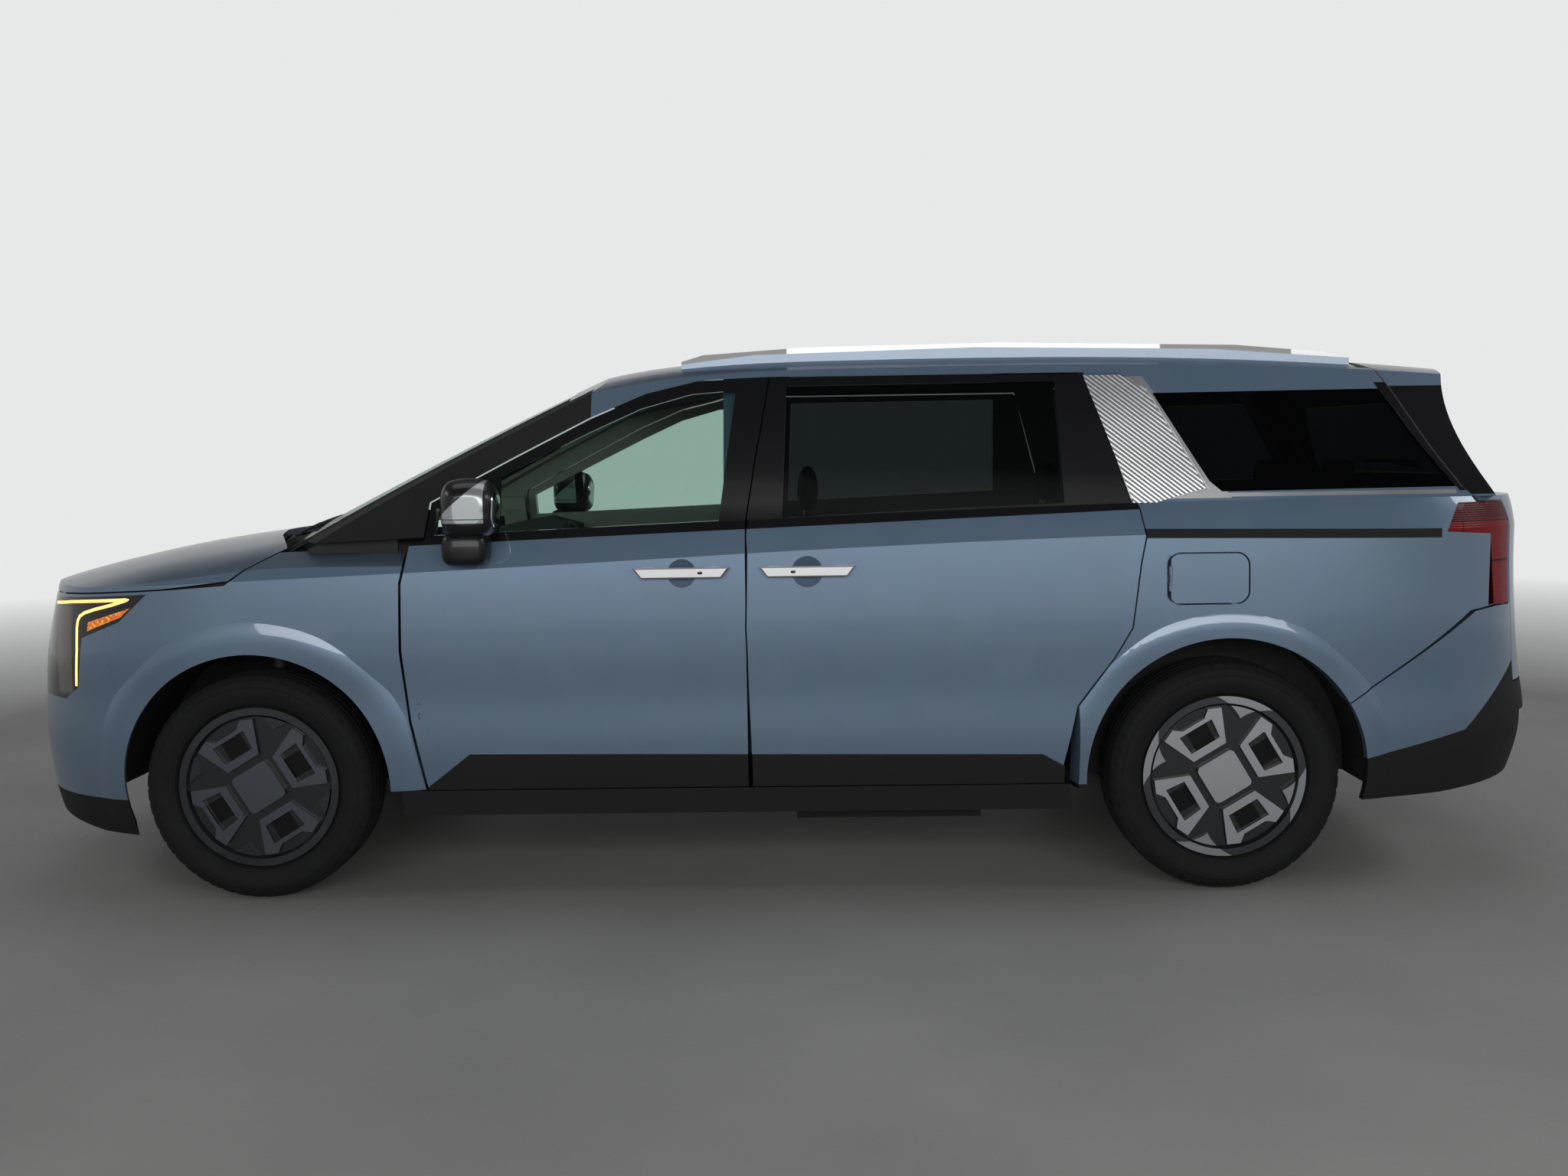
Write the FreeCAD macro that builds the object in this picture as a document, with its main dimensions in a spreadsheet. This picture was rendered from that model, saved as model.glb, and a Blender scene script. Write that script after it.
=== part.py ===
import FreeCAD, Part
import math
import os

import Sketcher
from FreeCAD import Placement, Rotation, Vector

# A seven-seat minivan in millimetres. The nose points to -X, the left side to -Y and +Z is up.
# The origin is on the ground, in the middle of the length and of the width.

doc = FreeCAD.newDocument("Minivan")
sheet = doc.addObject("Spreadsheet::Sheet", "Sizes")

SIZES = {
    # the whole vehicle
    "body_length": 5155,
    "body_width": 1995,
    "body_height": 1776,
    "wheelbase": 3090,
    "front_overhang": 935,
    "panel_gap": 5,
    "seat_gap": 0.3,
    "overrun": 40,
    # the lower body
    "belt_height": 1200,
    "crease_height": 1098,
    "door_thickness": 64,
    "skin_thickness": 4,
    "hood_thickness": 22,
    "front_round_length": 877,
    "rear_round_length": 1077,
    "hood_height": 1175,
    "hood_crown_drop": 118,
    "hood_rear_x": -1762,
    "flare_rise": 7,
    "flare_depth": 60,
    "front_flare_width": 108,
    "rear_flare_width": 84,
    "cladding_rise": 7,
    "cladding_overlap": 2,
    # the upper body
    "frame_thickness": 44,
    "roof_thickness": 34,
    "roof_height": 1748,
    "roof_crown_drop": 30,
    "rail_half_spacing": 640,
    "rail_width": 34,
    "rail_height": 46,
    "rail_foot_height": 22,
    "roof_panel_half_width": 700,
    "screen_base_half_width": 800,
    "screen_base_x": -1665,
    "screen_base_height": 1165,
    "screen_top_x": -672,
    "screen_top_height": 1650,
    "screen_belly": 20,
    "screen_bow": 130,
    "screen_bow_half_width": 650,
    "rear_glass_bow": 100,
    "rear_glass_bow_half_width": 700,
    "glass_thickness": 5,
    "glass_depth": 6,
    "pillar_slant_run": 12,
    "pillar_slant_depth": 48,
    # doors
    "front_door_front_x": -1150,
    "door_split_x": -66,
    "sliding_door_rear_x": 1180,
    "door_bottom": 356,
    "sill_bottom": 270,
    "hinge_edge_gap": 8,
    "mirror_x": -998,
    "mirror_depth": 172,
    "mirror_width": 176,
    "mirror_height": 178,
    "mirror_reach": 1120,
    "mirror_bottom": 1164,
    "mirror_foot_height": 72,
    "mirror_foot_length": 84,
    "front_handle_x": -416,
    "sliding_handle_x": -22,
    "handle_length": 302,
    "handle_height": 34,
    "handle_top": 1060,
    "handle_slant": 26,
    "handle_thickness": 13,
    "handle_standoff": 14,
    "handle_post_length": 40,
    "handle_cup_radius": 52,
    "handle_cup_depth": 20,
    "grille_bar": 9,
    "grille_border": 16,
    # front door hinges
    "door_hinge_x": -1104,
    "door_hinge_half_spacing": 971.5,
    "door_hinge_low": 620,
    "door_hinge_high": 930,
    "door_eye_radius": 11,
    "door_pin_radius": 5,
    "door_arm_height": 14,
    "door_arm_length": 104,
    "door_barrel_height": 32,
    "door_hinge_slack": 1.5,
    "hood_arm_room": 46,
    # tailgate, hood and flap
    "plate_recess_width": 330,
    "plate_recess_height": 172,
    "plate_recess_bottom": 690,
    "plate_seat_x": 2516,
    "plate_hole_spacing_across": 177.8,
    "plate_hole_spacing_up": 120.65,
    "plate_hole_radius": 3.2,
    "plate_hole_depth": 20,
    "tailgate_hinge_x": 1868,
    "tailgate_hinge_height": 1668,
    "tailgate_hinge_radius": 86,
    "tailgate_hinge_spacing": 900,
    "hinge_pin_radius": 8,
    "hinge_eye_radius": 18,
    "hinge_arm_width": 18,
    "pin_clearance": 0.08,
    "hood_hinge_x": -1420,
    "hood_hinge_height": 1110,
    "hood_hinge_spacing": 1500,
    "hood_arm_dip": 74,
    "cowl_depth": 30,
    "cowl_thickness": 12,
    "flap_front_x": 1254,
    "flap_rear_x": 1502,
    "flap_bottom": 926,
    "flap_top": 1080,
    "flap_corner_radius": 38,
    "flap_thickness": 8,
    "flap_well_depth": 52,
    "flap_roll_radius": 8,
    "flap_pin_radius": 3,
    "flap_eye_radius": 5,
    "flap_eye_height": 24,
    # cabin
    "seat_offset": 400,
    "seat_width": 520,
    "bench_width": 1180,
    "front_seat_x": -520,
    "middle_seat_x": 440,
    "rear_seat_x": 1330,
    "seat_plinth_height": 190,
    "cushion_length": 480,
    "cushion_thickness": 150,
    "back_height": 590,
    "back_lean": 260,
    "headrest_depth": 88,
    "headrest_width": 250,
    "headrest_height": 170,
    "steering_x": -640,
    "steering_height": 1010,
    "steering_ring_radius": 182,
    "steering_grip_radius": 15,
    "steering_hub_radius": 56,
    "steering_hub_depth": 40,
    "steering_column_length": 200,
    # wheels
    "tyre_radius": 366,
    "tyre_width": 232,
    "rim_radius": 258,
    "rim_bead_radius": 241,
    "rim_barrel_thickness": 14,
    "rim_lip_depth": 6,
    "rim_dish_depth": 24,
    "cap_width": 132,
    "cap_corner": 16,
    "wheel_outer_face": 966,
    "hub_radius": 74,
    "disc_radius": 160,
    "disc_thickness": 26,
    "spoke_thickness": 34,
    "kingpin_half_spacing": 700,
    "apron_half_width": 505,
    "steer_pin_radius": 26,
    "front_arch_radius": 434,
    "front_arch_rise": 2,
    "rear_arch_radius": 442,
    "rear_arch_rise": 8,
    "hinge_pillar_lead": 30,
    "hinge_pillar_tail": 68,
    "liner_half_length": 478,
    "liner_height": 452,
    "liner_thickness": 4,
    # floor and running gear
    "floor_height": 372,
    "floor_thickness": 40,
    "floor_half_width": 836,
    "load_floor_x": 2040,
    "load_floor_length": 300,
    "load_floor_width": 1260,
    "load_floor_thickness": 12,
    "firewall_x": -1120,
    "firewall_thickness": 30,
    "plenum_height": 1010,
    "plenum_length": 290,
    "plenum_thickness": 20,
    "apron_length": 1150,
    "apron_thickness": 24,
    "rear_floor_half_width": 698,
    "wheel_house_margin": 30,
    "wheel_house_thickness": 12,
    "subframe_bottom": 216,
    "subframe_height": 60,
    "engine_length": 560,
    "engine_width": 900,
    "engine_height": 620,
    "engine_x": -2010,
    "radiator_depth": 60,
    "radiator_height": 520,
    "tank_right_edge": -40,
    "tank_length": 620,
    "tank_width": 640,
    "tank_height": 150,
}
for row, (alias, value) in enumerate(SIZES.items(), start=1):
    sheet.set("A%d" % row, alias)
    sheet.set("B%d" % row, str(value))
    sheet.setAlias("B%d" % row, alias)
doc.recompute()


class NamedSizes:
    """Reads a size from the sheet by its name."""

    def __getattr__(self, alias):
        return float(sheet.get(alias))


size = NamedSizes()
half_length = size.body_length / 2
half_width = size.body_width / 2
front_axle_x = -half_length + size.front_overhang
rear_axle_x = front_axle_x + size.wheelbase
hub_height = size.tyre_radius


# Smooth surfaces through grids of points

def mean_steps(lines):
    """Spacing shared by all lines of a grid, from their mean chord lengths."""
    steps = [0.0]
    for index in range(1, len(lines[0])):
        chords = [line[index].distanceToPoint(line[index - 1]) for line in lines]
        steps.append(steps[-1] + sum(chords) / len(chords))
    return [step / steps[-1] for step in steps]


def curve_through(points, steps):
    curve = Part.BSplineCurve()
    curve.interpolate(Points=points, Parameters=steps)
    return curve


def skin_face(grid, spacing_row=None):
    """A smooth face through a grid of points, a list of rows."""
    along = mean_steps([spacing_row] if spacing_row else grid)
    across = mean_steps(list(zip(*grid)))
    rows = [curve_through(row, along) for row in grid]
    row_poles = [row.getPoles() for row in rows]
    columns = [curve_through(list(line), across) for line in zip(*row_poles)]
    poles = [column.getPoles() for column in columns]
    surface = Part.BSplineSurface()
    surface.buildFromPolesMultsKnots(
        poles, rows[0].getMultiplicities(), columns[0].getMultiplicities(),
        rows[0].getKnots(), columns[0].getKnots(), False, False,
        rows[0].Degree, columns[0].Degree)
    return surface.toShape()


def closed_solid(faces):
    shell = Part.Shell(faces)
    shell.sewShape()
    solid = Part.Solid(shell)
    if solid.Volume < 0:
        solid.reverse()
    return solid


def block_under(grid, direction, level):
    """Solid between a grid's face and the plane where the direction's coordinate is level."""
    top = skin_face(grid)
    axis = {"x": 0, "y": 1, "z": 2}[direction]

    def dropped(point):
        values = [point.x, point.y, point.z]
        values[axis] = level
        return Vector(*values)

    corners = [grid[0][0], grid[0][-1], grid[-1][-1], grid[-1][0]]
    base = [dropped(corner) for corner in corners]
    faces = [top]
    for index in range(len(corners)):
        following = (index + 1) % len(corners)
        ends = (corners[index], corners[following])
        border = min(top.Edges, key=lambda edge: misfit(edge, ends))
        sides = [Part.makeLine(ends[0], base[index]), Part.makeLine(base[index], base[following])]
        sides.append(Part.makeLine(base[following], ends[1]))
        faces.append(Part.Face(Part.Wire(Part.__sortEdges__([border] + sides))))
    faces.append(Part.Face(Part.makePolygon(base + [base[0]])))
    return closed_solid(faces)


def misfit(edge, ends):
    first, last = edge.Vertexes[0].Point, edge.Vertexes[-1].Point
    straight = first.distanceToPoint(ends[0]) + last.distanceToPoint(ends[1])
    crossed = first.distanceToPoint(ends[1]) + last.distanceToPoint(ends[0])
    return min(straight, crossed)


# The lower body: level lines that wrap round the nose and the tail, each row with its own
# height, width and reach. The shares are of the crease or belt height, half the width and half
# the length. Rows rise with the crease by their rise share.

LOWER_ROW_SHARES = [
    # height, rise, width, nose, tail
    (0.137, 0.0, 0.905, 0.978, 0.956),
    (0.237, 0.0, 0.945, 0.990, 0.972),
    (0.364, 0.0, 0.973, 0.998, 0.990),
    (0.465, 0.0, 0.984, 1.000, 1.000),
    (0.583, 0.0, 0.985, 0.998, 0.994),
    (0.710, 0.1, 0.995, 0.992, 0.986),
    (0.850, 0.5, 0.996, 0.982, 0.981),
    (1.000, 1.0, 0.990, 0.970, 0.981),
]
SHOULDER_ROW_SHARES = [
    (1.000, 1.0, 0.990, 0.970, 0.981),
    (1.045, 1.0, 0.970, 0.962, 0.980),
    (1.093, 1.0, 0.947, 0.950, 0.976),
    (1.150, 0.7, 0.915, 0.930, 0.966),
    (1.211, 0.0, 0.880, 0.905, 0.950),
]
CREASE_RISE_SHARES = [(-1.0, -0.092), (-0.72, -0.066), (-0.44, -0.042), (-0.10, -0.006),
                      (0.2, 0.022), (0.46, 0.040), (0.72, 0.044), (1.0, 0.044)]
NOSE_ROUND = 2.8
TAIL_ROUND = 4.0
ROUND_TURN_SHARES = [0.10, 0.24, 0.38, 0.52, 0.66, 0.78, 0.90]


def interpolate(table, at):
    """Value of a table of pairs at a place, along a smooth curve through its points."""
    if at <= table[0][0]:
        return table[0][1]
    if at >= table[-1][0]:
        return table[-1][1]
    for index in range(len(table) - 1):
        (x0, y0), (x1, y1) = table[index], table[index + 1]
        if at <= x1:
            before = table[max(index - 1, 0)]
            after = table[min(index + 2, len(table) - 1)]
            slope0 = (y1 - before[1]) / (x1 - before[0])
            slope1 = (after[1] - y0) / (after[0] - x0)
            part = (at - x0) / (x1 - x0)
            run = x1 - x0
            blend0 = (1 + 2 * part) * (1 - part) ** 2
            blend1 = part * part * (3 - 2 * part)
            lean0 = part * (1 - part) ** 2 * run
            lean1 = part * part * (part - 1) * run
            return blend0 * y0 + blend1 * y1 + lean0 * slope0 + lean1 * slope1


def crease_rise(x):
    return interpolate(CREASE_RISE_SHARES, x / half_length) * size.crease_height


def crease_z(x):
    return size.crease_height + crease_rise(x)


def belt_z(x):
    return size.belt_height + crease_rise(x) * 0.9


def lower_line(row, inset, end):
    """One level line of half the lower body, from the left round the nose or the tail."""
    height, rise, width, nose, tail = row
    w = half_width * width - inset
    reach = half_length * (nose if end < 0 else tail) - inset
    if end < 0:
        start = half_length - size.front_round_length
        power = NOSE_ROUND
    else:
        start = half_length - size.rear_round_length
        power = TAIL_ROUND
    begin = abs(size.door_split_x) * (1 if end < 0 else -1)
    plan = [(begin, w), ((begin + start) / 2, w), (start, w)]
    for turn in ROUND_TURN_SHARES:
        angle = turn * math.pi / 2
        along = math.sin(angle) ** (2 / power)
        out = math.cos(angle) ** (2 / power)
        plan.append((start + (reach - start) * along, w * out))
    plan.append((reach, 0.0))
    left = []
    for x, y in plan:
        z = size.crease_height * height + crease_rise(x * end) * rise
        left.append(Vector(x * end, -y, z))
    right = [Vector(p.x, -p.y, p.z) for p in reversed(left[:-1])]
    return left + right


def lower_half(inset, end):
    """Solid of the lower body ahead of the door split (end -1) or behind it (end +1)."""
    crease_row = lower_line(LOWER_ROW_SHARES[-1], inset, end)
    low = skin_face([lower_line(row, inset, end) for row in LOWER_ROW_SHARES], crease_row)
    high = skin_face([lower_line(row, inset, end) for row in SHOULDER_ROW_SHARES], crease_row)
    bottom_row = lower_line(LOWER_ROW_SHARES[0], inset, end)
    top_row = lower_line(SHOULDER_ROW_SHARES[-1], inset, end)

    def border(face, row):
        ends = (row[0], row[-1])
        return min(face.Edges, key=lambda edge: misfit(edge, ends))

    def cap(face, row):
        return Part.Face(Part.Wire([border(face, row), Part.makeLine(row[-1], row[0])]))

    def side(face, low_row, high_row, at):
        ends = (low_row[at], high_row[at])
        return min(face.Edges, key=lambda edge: misfit(edge, ends))

    back = [
        side(low, bottom_row, crease_row, 0),
        side(high, crease_row, top_row, 0),
        Part.makeLine(top_row[0], top_row[-1]),
        side(high, crease_row, top_row, -1),
        side(low, bottom_row, crease_row, -1),
        Part.makeLine(bottom_row[0], bottom_row[-1]),
    ]
    back_face = Part.Face(Part.Wire(Part.__sortEdges__(back)))
    return closed_solid([low, high, cap(low, bottom_row), cap(high, top_row), back_face])


# The upper body: side glass, windscreen, rear glass and roof surfaces that meet in edges

GLASS_SIDE_SHARES = [(0.58, 0.975), (0.63, 0.957), (0.676, 0.926), (0.732, 0.900), (0.788, 0.872),
                     (0.845, 0.841), (0.901, 0.807), (0.957, 0.769), (1.03, 0.712)]
SIDE_TAPER_SHARES = [(-0.80, -0.12), (-0.66, -0.10), (-0.46, -0.050), (-0.27, -0.014), (-0.10, 0.0),
                     (0.34, 0.0), (0.58, -0.022), (0.78, -0.062), (0.90, -0.100), (1.02, -0.16)]
TAPER_START_SHARE = 0.93
TAPER_SPAN_SHARE = 0.25
ROOF_LINE_SHARES = [(-0.50, 0.790), (-0.35, 0.893), (-0.27, 0.939), (-0.19, 0.968), (-0.10, 0.988),
                    (0.0, 0.996), (0.19, 1.000), (0.39, 0.999), (0.58, 0.991), (0.74, 0.977),
                    (0.90, 0.955), (1.02, 0.936)]
REAR_LINE_SHARES = [(0.56, 0.985), (0.676, 0.967), (0.708, 0.955), (0.758, 0.932), (0.829, 0.906),
                    (0.889, 0.894), (0.935, 0.894), (1.03, 0.894)]
UPPER_STATION_SHARES = [-0.80, -0.66, -0.46, -0.27, -0.10, 0.12, 0.34, 0.58, 0.78, 0.90, 1.02]
CROSS_SHARES = [-1.08, -0.9, -0.7, -0.45, -0.15, 0.15, 0.45, 0.7, 0.9, 1.08]
ROOF_DROP_POWER = 4


def side_y(x, z, inset=0.0):
    """Half width of the upper body at a place along it and at a height."""
    base = interpolate(GLASS_SIDE_SHARES, z / size.body_height)
    taper = interpolate(SIDE_TAPER_SHARES, x / half_length)
    start = size.belt_height * TAPER_START_SHARE
    grown = min(max((z - start) / (size.belt_height * TAPER_SPAN_SHARE), 0.0), 1.0)
    return half_width * (base + taper * grown) - inset


def screen_x(y, z, inset=0.0):
    part = (z - size.screen_base_height) / (size.screen_top_height - size.screen_base_height)
    middle = size.screen_base_x + (size.screen_top_x - size.screen_base_x) * part
    middle -= size.screen_belly * 4 * part * (1 - part)
    return middle + size.screen_bow * (y / size.screen_bow_half_width) ** 2 + inset


def rear_x(y, z, inset=0.0):
    middle = interpolate(REAR_LINE_SHARES, z / size.body_height) * half_length
    return middle - size.rear_glass_bow * (y / size.rear_glass_bow_half_width) ** 2 - inset


def roof_z(x, y, inset=0.0):
    middle = interpolate(ROOF_LINE_SHARES, x / half_length) * size.roof_height
    drop = size.roof_crown_drop * (abs(y) / size.rail_half_spacing) ** ROOF_DROP_POWER
    return middle - drop - inset


def side_block(inset):
    """Everything between the two side surfaces."""
    heights = [share * size.body_height for share, half in GLASS_SIDE_SHARES]
    stations = [share * half_length for share in UPPER_STATION_SHARES]
    left_grid = [[Vector(x, -side_y(x, z, inset), z) for x in stations] for z in heights]
    right_grid = [[Vector(p.x, -p.y, p.z) for p in row] for row in left_grid]
    left, right = skin_face(left_grid), skin_face(right_grid)

    def border(face, ends):
        return min(face.Edges, key=lambda edge: misfit(edge, ends))

    faces = [left, right]
    for pick in (lambda grid: grid[0], lambda grid: grid[-1],
                 lambda grid: [row[0] for row in grid], lambda grid: [row[-1] for row in grid]):
        left_line, right_line = pick(left_grid), pick(right_grid)
        edges = [
            border(left, (left_line[0], left_line[-1])),
            Part.makeLine(left_line[-1], right_line[-1]),
            border(right, (right_line[0], right_line[-1])),
            Part.makeLine(right_line[0], left_line[0]),
        ]
        faces.append(Part.Face(Part.Wire(Part.__sortEdges__(edges))))
    return closed_solid(faces)


def upper_solid(side_inset, screen_inset, rear_inset, roof_inset):
    """Solid of the upper body, drawn in by its own amount on each side."""
    heights = [share * size.body_height for share, half in GLASS_SIDE_SHARES]
    across = [share * half_width for share in CROSS_SHARES]
    stations = [share * half_length for share in UPPER_STATION_SHARES]
    screen = [[Vector(screen_x(y, z, screen_inset), y, z) for y in across] for z in heights]
    rear = [[Vector(rear_x(y, z, rear_inset), y, z) for y in across] for z in heights]
    roof = [[Vector(x, y, roof_z(x, y, roof_inset)) for y in across] for x in stations]
    solid = side_block(side_inset)
    solid = solid.common(block_under(screen, "x", half_length + size.overrun))
    solid = solid.common(block_under(rear, "x", -half_length))
    return solid.common(block_under(roof, "z", size.belt_height / 2))


# Cutters: outlines seen from the side, from behind or from above, as shares of half the length
# and of the height, pushed through the body

def side_points(shares):
    return [(x * half_length, z * size.body_height) for x, z in shares]


def prism(points, plane, low, high, lean=0.0):
    """Outline pushed from low to high: plane "xz" along Y, "yz" along X, "xy" along Z."""
    place = {
        "xz": lambda a, b: Vector(a, low, b),
        "yz": lambda a, b: Vector(low, a, b),
        "xy": lambda a, b: Vector(a, b, low),
    }[plane]
    push = {
        "xz": Vector(-lean * (high - low), high - low, 0),
        "yz": Vector(high - low, 0, 0),
        "xy": Vector(0, 0, high - low),
    }[plane]
    corners = [place(a, b) for a, b in points]
    return Part.Face(Part.makePolygon(corners + [corners[0]])).extrude(push)


def grown(points, gap):
    """An outline moved outwards by a gap, corner by corner, inwards if the gap is negative."""
    area = sum(a[0] * b[1] - b[0] * a[1] for a, b in zip(points, points[1:] + points[:1]))
    turn = 1 if area > 0 else -1
    moved = []
    for index, point in enumerate(points):
        before = points[index - 1]
        after = points[(index + 1) % len(points)]
        into = unit(point[0] - before[0], point[1] - before[1])
        out = unit(after[0] - point[0], after[1] - point[1])
        normal_in = (into[1] * turn, -into[0] * turn)
        normal_out = (out[1] * turn, -out[0] * turn)
        mean = unit(normal_in[0] + normal_out[0], normal_in[1] + normal_out[1])
        reach = gap / max(mean[0] * normal_in[0] + mean[1] * normal_in[1], 0.3)
        moved.append((point[0] + mean[0] * reach, point[1] + mean[1] * reach))
    return moved


def unit(a, b):
    length = math.hypot(a, b)
    return (a / length, b / length)


def mirrored(shape):
    return shape.mirror(Vector(0, 0, 0), Vector(0, 1, 0))


def cylinder_across(radius, x, z, low, high):
    """Round bar along Y."""
    return Part.makeCylinder(radius, high - low, Vector(x, low, z), Vector(0, 1, 0))


def largest_solid(shape):
    return max(shape.Solids, key=lambda solid: solid.Volume)


parts = {}


def add_shape(name, shape, keep_all=False, place=None):
    """A sub-part whose form no single feature gives."""
    if not keep_all:
        shape = largest_solid(shape)
    feature = doc.addObject("Part::Feature", name)
    feature.Label = name
    feature.Shape = shape
    feature.Placement = place or Placement()
    parts[name] = feature
    return feature


def add_pair(name, shape):
    add_shape(name + "_left", shape)
    add_shape(name + "_right", mirrored(largest_solid(shape)))


# Master solids and walls
gap = size.panel_gap
wall = size.door_thickness
front_outer = lower_half(0.0, -1)
rear_outer = lower_half(0.0, 1)
front_wall = front_outer.cut(lower_half(wall, -1))
rear_wall = rear_outer.cut(lower_half(wall, 1))
front_skin = front_outer.cut(lower_half(size.skin_thickness, -1))
rear_skin = rear_outer.cut(lower_half(size.skin_thickness, 1))
upper_outer = upper_solid(0.0, 0.0, 0.0, 0.0)
upper_inner = upper_solid(size.frame_thickness, size.frame_thickness, size.frame_thickness,
                          size.roof_thickness)
upper_wall = upper_outer.cut(upper_inner)
glass_outer = upper_solid(size.glass_depth, size.glass_depth, size.glass_depth, size.glass_depth)
glass_inset = size.glass_depth + size.glass_thickness
glass_inner = upper_solid(glass_inset, glass_inset, glass_inset, glass_inset)
glass_wall = glass_outer.cut(glass_inner)

# Outlines from the side, in shares of half the length and of the height
half_span = half_width + size.overrun
BELT_STATION_SHARES = [-1.02, -0.7, -0.5, -0.3, -0.1, 0.12, 0.3, 0.45, 0.6, 0.8, 1.02]
belt_line = [(share * half_length, belt_z(share * half_length)) for share in BELT_STATION_SHARES]
above_belt = belt_line + [(half_length * 1.02, size.body_height * 1.1),
                          (-half_length * 1.02, size.body_height * 1.1)]
below_belt = belt_line + [(half_length * 1.02, -size.overrun), (-half_length * 1.02, -size.overrun)]
above_cutter = prism(above_belt, "xz", -half_span, half_span)
below_cutter = prism(below_belt, "xz", -half_span, half_span)
upper_wall = upper_wall.common(above_cutter)
front_wall = front_wall.common(below_cutter)
rear_wall = rear_wall.common(below_cutter)

slant = size.pillar_slant_run / size.pillar_slant_depth
left_low, left_high = -half_span, -size.apron_half_width


def left_prism(points):
    return prism(points, "xz", left_low, left_high)


def lower_width(z):
    """Half width of the lower body at a height, beside the doors."""
    rows = LOWER_ROW_SHARES + SHOULDER_ROW_SHARES[1:]
    return interpolate([(row[0] * size.crease_height, row[2] * half_width) for row in rows], z)


# Raised lips round the wheel arches. Each row of points is a ring round the axle, set out from
# the body by its share of the flare's rise, so that the lip fades into the panel.
FLARE_ROW_SHARES = [(-0.08, 1.0), (0.30, 1.0), (0.58, 0.88), (0.82, 0.38), (1.0, -0.28)]
FLARE_TURN_SHARES = [-0.10, 0.0, 0.11, 0.22, 0.33, 0.44, 0.56, 0.67, 0.78, 0.89, 1.0, 1.10]


def outer_y(body, x, z):
    """Half width of a body at a place, measured on the solid itself."""
    inside = body.common(Part.makeLine(Vector(x, -half_span, z), Vector(x, 0, z)))
    return -min(vertex.Point.y for vertex in inside.Vertexes)


def flare(end, axle_x, middle_z, radius, width):
    body = front_outer if end < 0 else rear_outer
    grid = []
    for share, rise in FLARE_ROW_SHARES:
        row = []
        for turn in FLARE_TURN_SHARES:
            reach = radius + share * width
            x = axle_x + reach * math.cos(turn * math.pi)
            z = middle_z + reach * math.sin(turn * math.pi)
            row.append(Vector(x, -outer_y(body, x, z) - rise * size.flare_rise, z))
        grid.append(row)
    block = skin_face(grid).extrude(Vector(0, size.flare_depth, 0))
    return block.cut(lower_half(size.skin_thickness, end))


front_flare = flare(-1, front_axle_x, hub_height + size.front_arch_rise, size.front_arch_radius,
                    size.front_flare_width)
rear_flare = flare(1, rear_axle_x, hub_height + size.rear_arch_rise, size.rear_arch_radius,
                   size.rear_flare_width)

# Lower cladding along the doors, a thin shell that stands proud of them
CLADDING_SHARES = [(-0.424, 0.198), (-0.368, 0.267), (-0.026, 0.261), (0.335, 0.255), (0.392, 0.208),
                   (0.392, 0.198)]


def cladding(end):
    shell = lower_half(-size.cladding_rise, end).cut(lower_half(size.cladding_overlap, end))
    return shell.common(left_prism(side_points(CLADDING_SHARES)))


def handle_cup(start_x):
    """Ball that hollows the door behind a handle."""
    middle = start_x + size.handle_length / 2
    low = size.handle_top - size.handle_height / 2
    depth, radius = size.handle_cup_depth, size.handle_cup_radius
    ball = (radius ** 2 + depth ** 2) / (2 * depth)
    return Part.makeSphere(ball, Vector(middle, -(lower_width(low) + ball - depth), low))


def handle(start_x):
    """Pull handle of a left door on its two posts."""
    top, length, lean = size.handle_top, size.handle_length, size.handle_slant
    low = top - size.handle_height
    bar = [(start_x, top), (start_x + length, top), (start_x + length - lean, low), (start_x + lean, low)]
    inner_face = -lower_width(top) - size.handle_standoff
    solid = prism(bar, "xz", inner_face - size.handle_thickness, inner_face)
    solid = solid.makeChamfer(size.handle_thickness / 3, [
        edge for edge in solid.Edges if all(v.Point.y < inner_face - size.seat_gap for v in edge.Vertexes)])
    post = size.handle_post_length
    for first, second in ((start_x + lean, start_x + lean + post),
                          (start_x + length - lean - post, start_x + length - lean)):
        corners = [(first, top), (second, top), (second - lean / 4, low), (first + lean / 4, low)]
        solid = solid.fuse(prism(corners, "xz", inner_face - size.seat_gap, -half_width * 0.9))
    return solid


def surface_y(x, z):
    """Half width of the painted side at a place, for a cutter to lean on."""
    if z > belt_z(x):
        return side_y(x, z)
    return lower_width(z)


def leaning_prism(points, low, high):
    """Outline on the left side, pushed inwards with its edges leaning forwards."""
    moved = [(x + slant * (-surface_y(x, z) - low), z) for x, z in points]
    return prism(moved, "xz", low, high, slant)


split_x = size.door_split_x
front_x = size.front_door_front_x
DOOR_FRONT_EDGE_SHARES = [(0.024, 0.201), (0.007, 0.328), (-0.001, 0.454), (0.001, 0.573), (0.011, 0.640)]
DOOR_PILLAR_SHARES = [(0.030, 0.650), (0.032, 0.714), (0.136, 0.793), (0.229, 0.861), (0.299, 0.903),
                      (0.368, 0.926)]
DOOR_REAR_EDGE_SHARES = [(0.030, 0.930), (0.012, 0.784), (0.0, 0.650), (-0.001, 0.488), (0.003, 0.201)]
front_door_outline = [(front_x + x * half_length, z * size.body_height)
                      for x, z in DOOR_FRONT_EDGE_SHARES + DOOR_PILLAR_SHARES]
split_line = [(split_x + x * half_length, z * size.body_height) for x, z in DOOR_REAR_EDGE_SHARES]
front_door_outline += split_line
SLIDING_REAR_EDGE_SHARES = [(-0.096, 0.201), (-0.096, 0.236), (-0.080, 0.341), (-0.037, 0.425),
                            (-0.015, 0.480), (-0.005, 0.591), (0.0, 0.639), (-0.006, 0.686),
                            (-0.061, 0.930)]
rear_x_edge = size.sliding_door_rear_x
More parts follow.
